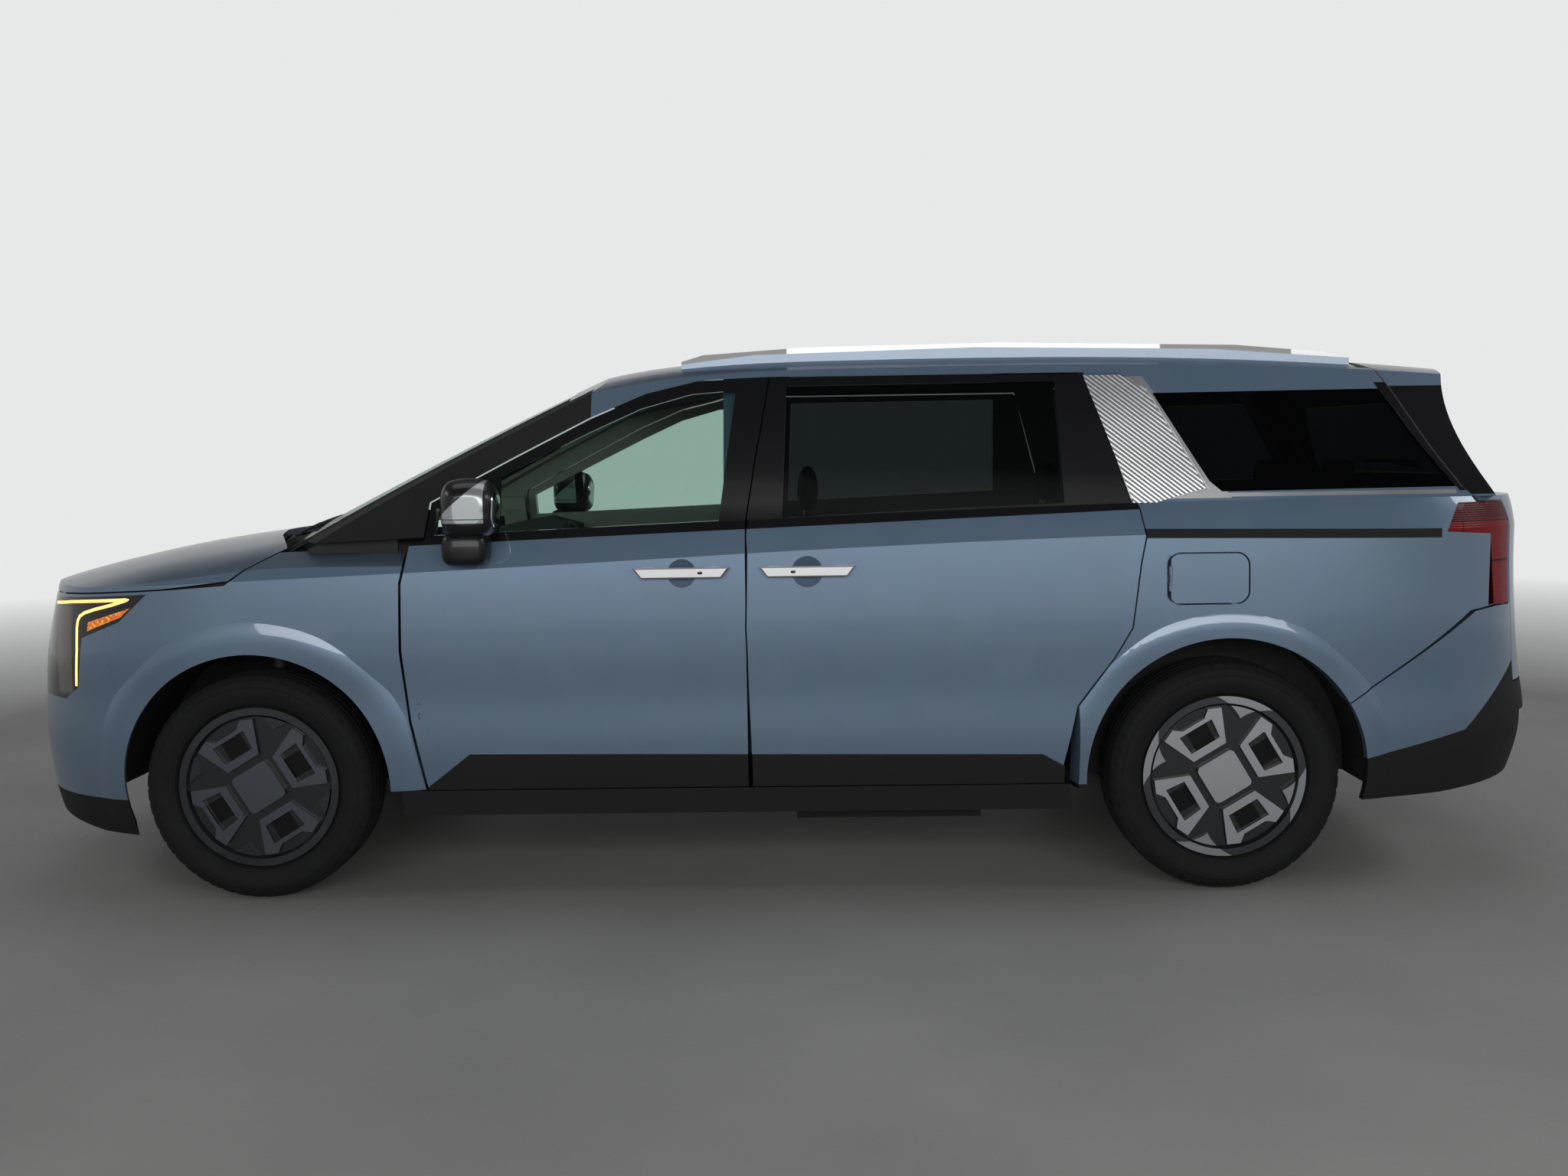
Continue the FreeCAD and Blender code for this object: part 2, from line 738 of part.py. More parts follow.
sliding_rear = [(rear_x_edge + x * half_length, z * size.body_height)
                for x, z in SLIDING_REAR_EDGE_SHARES]
sliding_outline = [(x + gap, z) for x, z in reversed(split_line)]
sliding_outline = sliding_outline + list(reversed(sliding_rear))

FRONT_WINDOW_SHARES = [(-0.408, 0.6565), (-0.408, 0.704), (-0.310, 0.773), (-0.217, 0.838),
                       (-0.155, 0.878), (-0.092, 0.903), (-0.036, 0.909), (-0.058, 0.676)]
SLIDING_WINDOW_SHARES = [(0.020, 0.680), (0.027, 0.915), (0.361, 0.917), (0.366, 0.699)]
QUARTER_WINDOW_SHARES = [(0.545, 0.734), (0.482, 0.893), (0.770, 0.896), (0.851, 0.718), (0.560, 0.715)]
front_window = side_points(FRONT_WINDOW_SHARES)
sliding_window = side_points(SLIDING_WINDOW_SHARES)
quarter_window = side_points(QUARTER_WINDOW_SHARES)
TAILGATE_CUT_SHARES = [(0.7507, 0.968), (0.783, 0.900), (0.859, 0.717), (0.880, 0.690)]
GATE_LOW_SHARES = [(-0.80, 0.362), (-0.80, 0.690), (0.80, 0.690), (0.80, 0.362)]
gate_low_outline = [(y * half_width, z * size.body_height) for y, z in GATE_LOW_SHARES]

# Doors
front_door_cutter = leaning_prism(front_door_outline, left_low, left_high)
door_stock = front_wall.fuse(upper_wall)

PILLAR_TRIM_SHARES = [(0.397, 0.927), (0.443, 0.927), (0.474, 0.900), (0.541, 0.722), (0.453, 0.688)]
pillar_trim_outline = side_points(PILLAR_TRIM_SHARES)
trim_seat = upper_solid(size.skin_thickness + size.seat_gap, 0.0, 0.0, 0.0)
trim_band = upper_outer.cut(trim_seat).common(left_prism(grown(pillar_trim_outline, gap)))

# Front door hinges: two arms of the pillar hold a pin in slots of the door's edge
DOOR_SWING = 68
door_pin_x, door_pin_y = size.door_hinge_x, -size.door_hinge_half_spacing


def door_bar(radius, low, high):
    return Part.makeCylinder(radius, high - low, Vector(door_pin_x, door_pin_y, low))


def arm_bay(low, high):
    """Room that an arm needs in the door over the whole swing."""
    slack = size.door_eye_radius + size.door_hinge_slack
    far = size.door_eye_radius * 10
    swing = math.radians(90 + DOOR_SWING)
    along = Vector(math.cos(swing), math.sin(swing), 0) * far
    aside = Vector(-math.sin(swing), math.cos(swing), 0) * slack
    local = [Vector(slack, 0, 0), Vector(slack, far, 0), Vector(-far, far, 0), along + aside, aside]
    bay = prism([(door_pin_x + v.x, door_pin_y + v.y) for v in local], "xy", low, high)
    return bay.fuse(door_bar(slack, low, high))


door_bays, door_arms = [], []
for level in (size.door_hinge_low, size.door_hinge_high):
    half = size.door_barrel_height / 2
    reach = half + size.door_arm_height
    slack = size.door_hinge_slack
    for low, high in ((level - reach, level - half), (level + half, level + reach)):
        arm = Part.makeBox(2 * size.door_eye_radius, size.door_arm_length, high - low,
                           Vector(door_pin_x - size.door_eye_radius, door_pin_y, low))
        door_arms.append(arm.fuse(door_bar(size.door_eye_radius, low, high)))
        door_bays.append(arm_bay(low - slack, high + slack))
    door_arms.append(door_bar(size.door_pin_radius, level - reach, level + reach))
    door_bays.append(door_bar(size.door_pin_radius + size.pin_clearance, level - reach, level + reach))
front_door = door_stock.fuse(cladding(-1)).common(front_door_cutter).cut(left_prism(front_window))
front_door = front_door.cut(handle_cup(size.front_handle_x)).cut(door_bays)
sliding_cutter = leaning_prism(sliding_outline, left_low, left_high)
sliding_stock = rear_wall.fuse(upper_wall)
sliding_door = sliding_stock.fuse(cladding(1)).common(sliding_cutter).cut(left_prism(sliding_window))
sliding_door = sliding_door.cut(handle_cup(size.sliding_handle_x)).cut(trim_band)
add_pair("front_door", front_door)
add_pair("sliding_door", sliding_door)


front_handle = handle(size.front_handle_x).cut(lower_half(-size.seat_gap, -1))
add_pair("door_handle", front_handle)
sliding_handle = largest_solid(handle(size.sliding_handle_x).cut(lower_half(-size.seat_gap, 1)))
add_shape("sliding_door_handles", Part.makeCompound([sliding_handle, mirrored(sliding_handle)]), True)


def pane(outline):
    glass = glass_wall.common(left_prism(grown(outline, -size.seat_gap)))
    return largest_solid(glass)


front_pane = pane(front_window)
add_shape("front_window_left", front_pane)
add_shape("front_window_right", mirrored(front_pane))
sliding_pane = pane(sliding_window)
add_shape("sliding_windows", Part.makeCompound([sliding_pane, mirrored(sliding_pane)]), True)
quarter_pane = pane(quarter_window)
add_shape("quarter_windows", Part.makeCompound([quarter_pane, mirrored(quarter_pane)]), True)

# Body sides: windscreen pillar, side rail, rear quarter, sill and the pillars inside the doors
tailgate_cut = side_points(TAILGATE_CUT_SHARES)
REAR_BUMPER_CUT_SHARES = [(0.700, 0.330), (0.730, 0.360), (0.868, 0.497), (0.915, 0.506)]
rear_bumper_cut = side_points(REAR_BUMPER_CUT_SHARES)
LAMP_SHARES = [(0.826, 0.640), (0.846, 0.690), (0.925, 0.690), (0.925, 0.506), (0.897, 0.506),
               (0.890, 0.634)]
tail_lamp_outline = side_points(LAMP_SHARES)

roof_span = size.roof_panel_half_width
front_arch = cylinder_across(size.front_arch_radius, front_axle_x, hub_height + size.front_arch_rise,
                             -half_span, -size.apron_half_width)
rear_arch = cylinder_across(size.rear_arch_radius, rear_axle_x, hub_height + size.rear_arch_rise,
                            -half_span, -size.apron_half_width)

upper_side_outline = [
    (-half_length * 0.72, size.belt_height * 0.9),
    (-half_length * 0.72, size.body_height * 1.05),
    (tailgate_cut[0][0] - gap, size.body_height * 1.05),
] + [(x - gap, z) for x, z in tailgate_cut] + [(tailgate_cut[-1][0] - gap, size.belt_height * 0.9)]
outboard_of_roof = Part.makeBox(
    2 * half_length, half_span - roof_span, size.body_height * 1.2,
    Vector(-half_length, -half_span, 0))
SCREEN_SIDE_SHARES = [(1.0, 0.55), (1.0, 0.676), (0.875, 0.935), (0.875, 1.05)]
screen_side = [(-share * size.screen_base_half_width, z * size.body_height)
               for share, z in SCREEN_SIDE_SHARES]
screen_side_cut = prism(screen_side + [(0, size.body_height * 1.05), (0, size.body_height * 0.55)],
                        "yz", -half_length, size.screen_top_x + size.screen_bow)
upper_side = upper_wall.common(left_prism(upper_side_outline)).common(outboard_of_roof)
upper_side = upper_side.cut(screen_side_cut)

quarter_outline = [(x + gap, z) for x, z in sliding_rear if z > size.body_height * 0.3]
quarter_outline = [(quarter_outline[0][0], size.body_height * 0.19)] + quarter_outline
quarter_outline += [
    (quarter_outline[-1][0], tailgate_cut[2][1]),
    (tailgate_cut[2][0] - gap, tailgate_cut[2][1]),
    (tailgate_cut[3][0] - gap, tailgate_cut[3][1]),
    (half_length * 0.897, tailgate_cut[3][1]),
    (half_length * 0.897, size.body_height * 0.506),
]
quarter_outline += [(x - gap * 0.7, z + gap * 0.7) for x, z in reversed(rear_bumper_cut)]
quarter_outline += [(rear_axle_x, size.body_height * 0.19)]
quarter = rear_wall.fuse(rear_flare).common(leaning_prism(quarter_outline, left_low, left_high))
door_holes = leaning_prism(grown(front_door_outline, gap), left_low, left_high)
slide_holes = leaning_prism(grown(sliding_outline, gap), left_low, left_high)

PILLAR_STATION_SHARES = [0.15, 0.20, 0.26, 0.32, 0.40, 0.50, 0.58, 0.64, 0.67, 0.71, 0.75, 0.80, 0.86, 0.91]


def inner_pillar(x_low, x_high, low_share, high_share, clear, depth):
    """Upright pillar that follows the inside of the doors."""
    heights = [low_share * size.body_height]
    heights += [share * size.body_height for share in PILLAR_STATION_SHARES
                if low_share < share < high_share]
    heights.append(high_share * size.body_height)
    outer = []
    for z in heights:
        below_belt_top = z < belt_z(x_low) + size.belt_height * 0.02
        base = lower_width(z) - wall if below_belt_top else side_y(x_low, z, size.frame_thickness)
        outer.append((-(base - clear), z))
    inner = [(y + depth, z) for y, z in reversed(outer)]
    return prism(outer + inner, "yz", x_low, x_high)


SILL_FRONT_SHARE = -0.455
SILL_REAR_SHARE = 0.372
sill_outline = [
    (-half_width * 0.955, size.sill_bottom),
    (-half_width * 0.962, size.door_bottom - gap * 2),
    (-half_width * 0.962, size.door_bottom - gap),
    (-size.floor_half_width, size.door_bottom - gap),
    (-size.floor_half_width, size.sill_bottom),
]
sill = prism(sill_outline, "yz", SILL_FRONT_SHARE * half_length, SILL_REAR_SHARE * half_length)
centre_pillar = inner_pillar(split_x - 70, split_x + 70, 0.15, 0.945, 8, 52).common(outboard_of_roof)
hinge_pillar = inner_pillar(front_x - size.hinge_pillar_lead, front_x + size.hinge_pillar_tail, 0.15, 0.70, 36, 60)
body_side = quarter.fuse(upper_side)
body_side = body_side.cut(door_holes).cut(slide_holes)
body_side = body_side.cut(left_prism(quarter_window)).cut(rear_arch)
gate_clear = prism(grown(gate_low_outline, gap), "yz", half_length * 0.86, half_length * 1.05)
body_side = body_side.cut(gate_clear)
floor_space = Part.makeBox(half_length * 2, size.floor_half_width, size.floor_thickness,
                           Vector(-half_length, -size.floor_half_width, size.floor_height - size.floor_thickness))
firewall_space = Part.makeBox(
    size.plenum_length + size.firewall_thickness, size.floor_half_width,
    size.plenum_height + size.plenum_thickness - size.floor_height,
    Vector(size.firewall_x - size.firewall_thickness - size.plenum_length, -size.floor_half_width,
           size.floor_height))
body_side = body_side.fuse(sill).fuse(centre_pillar).fuse(hinge_pillar).fuse(door_arms)
body_side = body_side.cut(rear_arch).cut(floor_space).cut(firewall_space)
lamp_hole = prism(grown(tail_lamp_outline, size.seat_gap), "xz", left_low, left_high)
body_side = body_side.cut(lamp_hole)
body_side = body_side.cut(trim_band)
pillar_trim = upper_outer.cut(upper_solid(size.skin_thickness, 0.0, 0.0, 0.0))
pillar_trim = largest_solid(pillar_trim.common(left_prism(pillar_trim_outline)))
add_shape("pillar_trims", Part.makeCompound([pillar_trim, mirrored(pillar_trim)]), True)

# Fuel flap and its well, on the left side only
flap_outline = Part.makePolygon([
    Vector(size.flap_front_x, -half_span, size.flap_bottom),
    Vector(size.flap_rear_x, -half_span, size.flap_bottom),
    Vector(size.flap_rear_x, -half_span, size.flap_top),
    Vector(size.flap_front_x, -half_span, size.flap_top),
    Vector(size.flap_front_x, -half_span, size.flap_bottom),
])


def flap_prism(margin, depth):
    """Round-cornered block through the flap, to a depth from the widest place of the body."""
    box = Part.makeBox(
        size.flap_rear_x - size.flap_front_x + 2 * margin,
        size.overrun + depth,
        size.flap_top - size.flap_bottom + 2 * margin,
        Vector(size.flap_front_x - margin, -half_span, size.flap_bottom - margin))
    upright = [edge for edge in box.Edges if abs(edge.tangentAt(edge.FirstParameter).y) > 0.9]
    return box.makeFillet(size.flap_corner_radius + margin, upright)


flap_middle = (size.flap_bottom + size.flap_top) / 2
flap_pin_x = size.flap_front_x + size.flap_roll_radius
flap_pin_y = -lower_width(flap_middle) + size.flap_roll_radius
straight_edge = size.flap_top - size.flap_bottom - 2 * size.flap_corner_radius
eye_half = size.flap_eye_height / 2


def flap_bar(radius, length):
    """Upright bar on the flap's hinge line."""
    return Part.makeCylinder(radius, length, Vector(flap_pin_x, flap_pin_y, flap_middle - length / 2))


eye_neck = prism([
    (flap_pin_x - size.flap_eye_radius / 2, flap_pin_y - size.flap_eye_radius / 2),
    (flap_pin_x + size.flap_eye_radius / 2, flap_pin_y + size.flap_eye_radius / 2),
    (size.flap_front_x - gap, flap_pin_y + size.flap_roll_radius * 3),
    (size.flap_front_x - gap * 2, flap_pin_y + size.flap_roll_radius * 2),
], "xy", flap_middle - eye_half, flap_middle + eye_half)
flap_eye = flap_bar(size.flap_eye_radius, size.flap_eye_height).fuse(eye_neck)
flap_eye = flap_eye.cut(flap_bar(size.flap_pin_radius + size.pin_clearance, straight_edge))
flap_half = straight_edge / 2 + size.flap_corner_radius * 0.9
flap_swing = Part.makeBox(size.flap_roll_radius + gap, half_width, 2 * flap_half,
                          Vector(size.flap_front_x - gap, flap_pin_y - half_width, flap_middle - flap_half))
body_side_left = largest_solid(body_side).cut(flap_prism(gap, size.flap_well_depth)).cut(flap_swing)
body_side_left = body_side_left.fuse(flap_eye)
add_shape("body_side_left", body_side_left)
add_shape("body_side_right", mirrored(largest_solid(body_side)))
flap_stock = rear_outer.cut(lower_half(size.flap_thickness, 1))
flap = flap_stock.common(flap_prism(0.0, size.flap_well_depth))
ahead_of_pin = Part.makeBox(
    size.flap_roll_radius + gap, half_width, size.body_height,
    Vector(size.flap_front_x - gap, -half_span, 0))
flap = flap.cut(ahead_of_pin).fuse(flap_bar(size.flap_roll_radius, straight_edge))
flap_notch = Part.makeBox(
    2 * size.flap_roll_radius, 2 * size.flap_roll_radius, size.flap_eye_height + size.seat_gap * 2,
    Vector(flap_pin_x - 2 * size.flap_roll_radius, flap_pin_y - size.flap_roll_radius,
           flap_middle - eye_half - size.seat_gap))
flap_notch = flap_notch.fuse(flap_bar(size.flap_eye_radius + size.seat_gap,
                                      size.flap_eye_height + size.seat_gap * 2))
flap_inner_half = Part.makeBox(
    2 * size.flap_roll_radius, 2 * size.flap_roll_radius, size.flap_eye_height + size.seat_gap * 2,
    Vector(flap_pin_x - size.flap_roll_radius, flap_pin_y, flap_middle - eye_half - size.seat_gap))
flap = flap.cut(flap_notch).cut(flap_inner_half)
flap = flap.fuse(flap_bar(size.flap_pin_radius, straight_edge))
add_shape("fuel_flap", flap)

# Roof panel and windscreen
roof_outline = [
    (-half_length * 0.5, size.belt_height),
    (-half_length * 0.5, size.body_height * 1.05),
    (tailgate_cut[0][0] - gap, size.body_height * 1.05),
    (tailgate_cut[0][0] - gap, size.belt_height),
]
SCREEN_CUT_SHARES = [(-0.72, 0.60), (-0.72, 1.03), (-0.274, 1.03), (-0.244, 0.86), (-0.244, 0.60)]
screen_zone = prism(side_points(SCREEN_CUT_SHARES), "xz", -half_span, half_span)
roof = upper_wall.common(prism(roof_outline, "xz", -roof_span, roof_span))
roof = roof.cut(screen_zone)
hinge_x, hinge_z = size.tailgate_hinge_x, size.tailgate_hinge_height
arm_half = size.hinge_arm_width / 2
for side in (-1, 1):
    middle = side * size.tailgate_hinge_spacing / 2
    low, high = middle - arm_half - gap, middle + arm_half + gap
    boss = cylinder_across(size.hinge_eye_radius, hinge_x, hinge_z, low - size.hinge_arm_width,
                           high + size.hinge_arm_width)
    slot = Part.makeBox(size.tailgate_hinge_radius * 2, high - low, size.body_height,
                        Vector(hinge_x - size.hinge_eye_radius - gap, low, size.belt_height))
    roof = roof.fuse(boss).cut(slot)
    roof = roof.fuse(cylinder_across(size.hinge_pin_radius, hinge_x, hinge_z, low, high))
add_shape("roof_panel", roof)
screen_inside = [(y + size.seat_gap, z) for y, z in screen_side]
screen_glass_zone = prism(screen_inside + [(-y, z) for y, z in reversed(screen_inside)],
                          "yz", -half_length, half_length)
screen = glass_wall.common(screen_zone).common(screen_glass_zone)

# Front fenders, hood, cowl and front bumper
HOOD_LINE_SHARES = [(-1.02, 0.765), (-0.97, 0.862), (-0.913, 0.901), (-0.794, 0.957), (-0.707, 0.984),
                    (-0.640, 1.0), (-0.55, 1.008), (-0.40, 1.01)]
HOOD_STATION_SHARES = [-1.04, -0.97, -0.913, -0.85, -0.794, -0.707, -0.640, -0.55, -0.40]
HOOD_DROP_POWER = 3.2


def hood_z(x, y, inset=0.0):
    middle = interpolate(HOOD_LINE_SHARES, x / half_length) * size.hood_height
    return middle - size.hood_crown_drop * (abs(y) / half_width) ** HOOD_DROP_POWER - inset


def hood_block(inset):
    across = [share * half_width for share in CROSS_SHARES]
    stations = [share * half_length for share in HOOD_STATION_SHARES]
    grid = [[Vector(x, y, hood_z(x, y, inset)) for y in across] for x in stations]
    return block_under(grid, "z", -size.overrun)


def hood_rear_line(clear):
    """Rear edge of the hood from above, bowed like the foot of the windscreen."""
    line = []
    for share in (-1.05, -0.8, -0.55, -0.3, 0.0, 0.3, 0.55, 0.8, 1.05):
        y = share * half_width
        bow = size.screen_bow * (y / size.screen_bow_half_width) ** 2
        line.append((size.hood_rear_x + bow + clear, y))
    return line


def ahead_of_hood_rear(clear):
    line = hood_rear_line(clear)
    front = -half_length - size.overrun
    return prism(line + [(front, line[-1][1]), (front, line[0][1])], "xy", 0, size.body_height)


HOOD_EDGE_SHARES = [(-1.04, 0.549), (-0.860, 0.5605), (-0.735, 0.570), (-0.663, 0.577), (-0.611, 0.632),
                    (-0.585, 0.670), (-0.585, 0.80), (-1.04, 0.80)]
hood_edge = side_points(HOOD_EDGE_SHARES)
front_under_hood = front_outer.common(hood_block(0.0))
hood_zone = prism(hood_edge, "xz", -half_span, half_span)
hood = front_under_hood.cut(hood_block(size.hood_thickness)).common(hood_zone)
hood = hood.common(ahead_of_hood_rear(0.0))
hood_pin_x, hood_pin_z = size.hood_hinge_x, size.hood_hinge_height
hood_arm_tip_x = size.hood_rear_x + size.screen_bow
arm_thick = size.hinge_eye_radius
hood_arm_outline = [
    (hood_pin_x, hood_pin_z),
    (hood_pin_x - size.hinge_eye_radius * 4, hood_pin_z - size.hood_arm_dip),
    (hood_arm_tip_x, hood_pin_z - size.hood_arm_dip),
    (hood_arm_tip_x - size.hinge_eye_radius * 2, hood_pin_z - size.hood_arm_dip / 2),
    (hood_arm_tip_x - size.hinge_eye_radius * 2, hood_pin_z + arm_thick / 4),
    (hood_arm_tip_x - arm_thick, hood_pin_z + arm_thick / 4),
    (hood_arm_tip_x - arm_thick, hood_pin_z - size.hood_arm_dip / 2),
    (hood_arm_tip_x, hood_pin_z - size.hood_arm_dip + arm_thick),
    (hood_pin_x - size.hinge_eye_radius * 4, hood_pin_z - size.hood_arm_dip + arm_thick),
]
for side in (-1, 1):
    middle = side * size.hood_hinge_spacing / 2
    low, high = middle - arm_half, middle + arm_half
    arm = prism(hood_arm_outline, "xz", low, high)
    arm = arm.fuse(cylinder_across(size.hinge_eye_radius, hood_pin_x, hood_pin_z, low, high))
    arm = arm.cut(cylinder_across(size.hinge_pin_radius + size.pin_clearance, hood_pin_x, hood_pin_z,
                                  low, high))
    hood = hood.fuse(arm)
add_shape("hood", hood)

front_shell = front_under_hood.cut(lower_half(size.skin_thickness, -1).common(hood_block(size.skin_thickness)))
front_shell = front_shell.fuse([front_flare, mirrored(front_flare)])
HEADLAMP_SHARES = [(-0.905, 0.549), (-0.761, 0.560), (-0.800, 0.510), (-0.858, 0.479), (-0.868, 0.388),
                   (-0.893, 0.364), (-1.03, 0.364), (-1.03, 0.549)]
headlamp_outline = side_points(HEADLAMP_SHARES)
FENDER_FRONT_SHARES = [(-0.790, 0.555), (-0.822, 0.495), (-0.800, 0.300), (-0.800, 0.180)]
fender_front = side_points(FENDER_FRONT_SHARES)
door_edge = [(x - size.hinge_edge_gap, z) for x, z in front_door_outline[:5]]
fender_outline = fender_front + door_edge + [
    (front_x + 0.036 * half_length, size.body_height * 0.648),
    (front_x + 0.036 * half_length, size.body_height * 0.72),
    (-half_length * 0.8, size.body_height * 0.72),
]
fender = front_shell.common(prism(fender_outline, "xz", left_low, left_high))
fender = fender.cut(prism(grown(hood_edge, gap), "xz", -half_span, half_span)).cut(front_arch)
fender = fender.cut(prism(grown(headlamp_outline, size.seat_gap), "xz", -half_span, half_span))
fender = fender.common(below_cutter)
beside_screen = Part.makeBox(half_length, half_width * 0.835, size.body_height,
                             Vector(hood_arm_tip_x, -half_width * 0.835, 0))
fender = fender.cut(beside_screen).cut(leaning_prism(grown(front_door_outline, size.hinge_edge_gap),
                                                     left_low, left_high))
fender = fender.cut(largest_solid(body_side))
add_pair("front_fender", fender)

cowl_reach = -size.hood_rear_x * 0.085
cowl = front_outer.common(hood_block(size.cowl_depth)).cut(hood_block(size.cowl_depth + size.cowl_thickness))
cowl = cowl.cut(ahead_of_hood_rear(gap)).common(ahead_of_hood_rear(cowl_reach))
cowl = cowl.common(prism([(-half_length, -half_width * 0.83), (0, -half_width * 0.83),
                          (0, half_width * 0.83), (-half_length, half_width * 0.83)], "xy", 0, size.body_height))
for side in (-1, 1):
    low = side * size.hood_hinge_spacing / 2 - arm_half - gap
    cowl = cowl.cut(Part.makeBox(half_length, size.hinge_arm_width + 2 * gap, size.body_height,
                                 Vector(size.hood_rear_x, low, 0)))
add_shape("cowl", cowl)
screen = screen.cut(hood_block(size.cowl_depth - size.seat_gap))
for side in (-1, 1):
    low = side * size.hood_hinge_spacing / 2 - arm_half - gap
    screen = screen.cut(Part.makeBox(half_length, size.hinge_arm_width + 2 * gap,
                                     hood_pin_z + size.hood_arm_room, Vector(-half_length, low, 0)))
add_shape("windscreen", screen)

# Door mirrors
MIRROR_SECTION_SHARES = [
    # reach, front, rear, bottom, top
    (1.00, 0.30, 0.78, 0.24, 0.72),
    (0.985, 0.12, 0.92, 0.10, 0.88),
    (0.955, 0.02, 0.99, 0.02, 0.98),
    (0.900, 0.00, 1.00, 0.00, 1.00),
    (0.862, 0.06, 0.94, 0.02, 0.80),
    (0.848, 0.16, 0.86, 0.06, 0.62),
]
MIRROR_ROUND = 3.6
MIRROR_POINTS = 14


def mirror_section(reach, front, rear, bottom, top):
    """Rounded upright outline of the mirror housing."""
    x0, x1 = size.mirror_x + front * size.mirror_depth, size.mirror_x + rear * size.mirror_depth
    z0, z1 = size.mirror_bottom + bottom * size.mirror_height, size.mirror_bottom + top * size.mirror_height
    points = []
    for index in range(MIRROR_POINTS):
        angle = 2 * math.pi * index / MIRROR_POINTS
        across = math.copysign(abs(math.cos(angle)) ** (2 / MIRROR_ROUND), math.cos(angle))
        up = math.copysign(abs(math.sin(angle)) ** (2 / MIRROR_ROUND), math.sin(angle))
        points.append(Vector((x0 + x1) / 2 + across * (x1 - x0) / 2, -reach * size.mirror_reach,
                             (z0 + z1) / 2 + up * (z1 - z0) / 2))
    curve = Part.BSplineCurve()
    curve.interpolate(Points=points, PeriodicFlag=True)
    return Part.Wire(curve.toShape())


mirror_head = Part.makeLoft([mirror_section(*row) for row in MIRROR_SECTION_SHARES], True)
foot_x = size.mirror_x + (size.mirror_depth - size.mirror_foot_length) / 2
foot_low = size.mirror_bottom - size.mirror_foot_height
mirror_foot_outline = [
    (foot_x, foot_low), (foot_x + size.mirror_foot_length, foot_low),
    (foot_x + size.mirror_foot_length, size.mirror_bottom + size.mirror_height / 4),
    (foot_x, size.mirror_bottom + size.mirror_height / 4),
]
mirror_foot = prism(mirror_foot_outline, "xz", -size.mirror_reach + size.mirror_width / 2, -half_width * 0.92)
mirror = mirror_head.fuse(mirror_foot).cut(lower_half(-size.seat_gap, -1))
add_pair("mirror", mirror)

LAMP_INNER_SHARE = 0.62
lamp_zone = prism(headlamp_outline, "xz", -half_span, -half_width * LAMP_INNER_SHARE)
lamp_depth = size.hood_thickness * 2
front_lamp_stock = front_under_hood.cut(lower_half(lamp_depth, -1).common(hood_block(lamp_depth)))
headlamp = largest_solid(front_lamp_stock.common(lamp_zone).cut(prism(
    grown(hood_edge, gap), "xz", -half_span, half_span)))
add_shape("headlamps", Part.makeCompound([headlamp, mirrored(headlamp)]), True)

FRONT_BUMPER_LOW_SHARES = [(-0.800, 0.113), (-0.850, 0.116), (-0.930, 0.134), (-1.04, 0.168)]
INTAKE_SHARES = [(-0.50, 0.205), (-0.56, 0.270), (0.56, 0.270), (0.50, 0.205)]
intake_outline = [(y * half_width, z * size.body_height) for y, z in INTAKE_SHARES]
bumper_outline = [(x - size.seat_gap, z) for x, z in fender_front]
bumper_outline = [(bumper_outline[0][0], size.body_height * 0.60)] + bumper_outline[:3]
bumper_outline += side_points(FRONT_BUMPER_LOW_SHARES)
bumper_outline.append((-half_length * 1.04, size.body_height * 0.60))
bumper_zone = prism(bumper_outline, "xz", -half_span, half_span)
both_lamps = prism(grown(headlamp_outline, size.seat_gap), "xz", -half_span,
                   -half_width * LAMP_INNER_SHARE + size.seat_gap)
both_lamps = both_lamps.fuse(mirrored(both_lamps))
GRILLE_SHARES = [(-0.60, 0.365), (-0.60, 0.545), (0.60, 0.545), (0.60, 0.365), (0.48, 0.315), (-0.48, 0.315)]
grille_outline = [(y * half_width, z * size.body_height) for y, z in GRILLE_SHARES]
grille_hole = prism(grille_outline, "yz", -half_length * 1.04, -half_length * 0.8)
intake_hole = prism(intake_outline, "yz", -half_length * 1.04, -half_length * 0.8)
front_arches = front_arch.fuse(mirrored(front_arch))
bumper = front_shell.common(bumper_zone).cut(prism(grown(hood_edge, gap), "xz", -half_span, half_span))
bumper = bumper.cut(both_lamps).cut(grille_hole).cut(intake_hole).cut(front_arches)
bumper = bumper.cut(fender).cut(mirrored(fender))
add_shape("front_bumper", bumper)
grille_stock = front_under_hood.cut(lower_half(size.hood_thickness, -1))


def lattice(outline, border, columns, rows):
    """Plate inside an outline with a grid of bars, cut from the body's own skin."""
    plate = prism(grown(outline, -size.seat_gap), "yz", -half_length * 1.04, -half_length * 0.8)
    field = grown(outline, -border)
    low_y, high_y = min(y for y, z in field), max(y for y, z in field)
    low_z, high_z = min(z for y, z in field), max(z for y, z in field)
    bars = []
    for index in range(1, columns):
        y = low_y + (high_y - low_y) * index / columns
        bars.append(Part.makeBox(half_length, size.grille_bar, size.body_height,
                                 Vector(-half_length - size.overrun, y - size.grille_bar / 2, 0)))
    for index in range(1, rows):
        z = low_z + (high_z - low_z) * index / rows
        bars.append(Part.makeBox(half_length, size.body_width, size.grille_bar,
                                 Vector(-half_length - size.overrun, -half_width, z - size.grille_bar / 2)))
    windows = prism(field, "yz", -half_length * 1.04, -half_length * 0.8).cut(bars)
    return largest_solid(grille_stock.common(plate).cut(windows))


upper_grille = lattice(grille_outline, size.grille_border, 16, 7)
lower_grille = lattice(intake_outline, size.grille_border, 12, 2)
add_shape("grille", Part.makeCompound([upper_grille, lower_grille]), True)

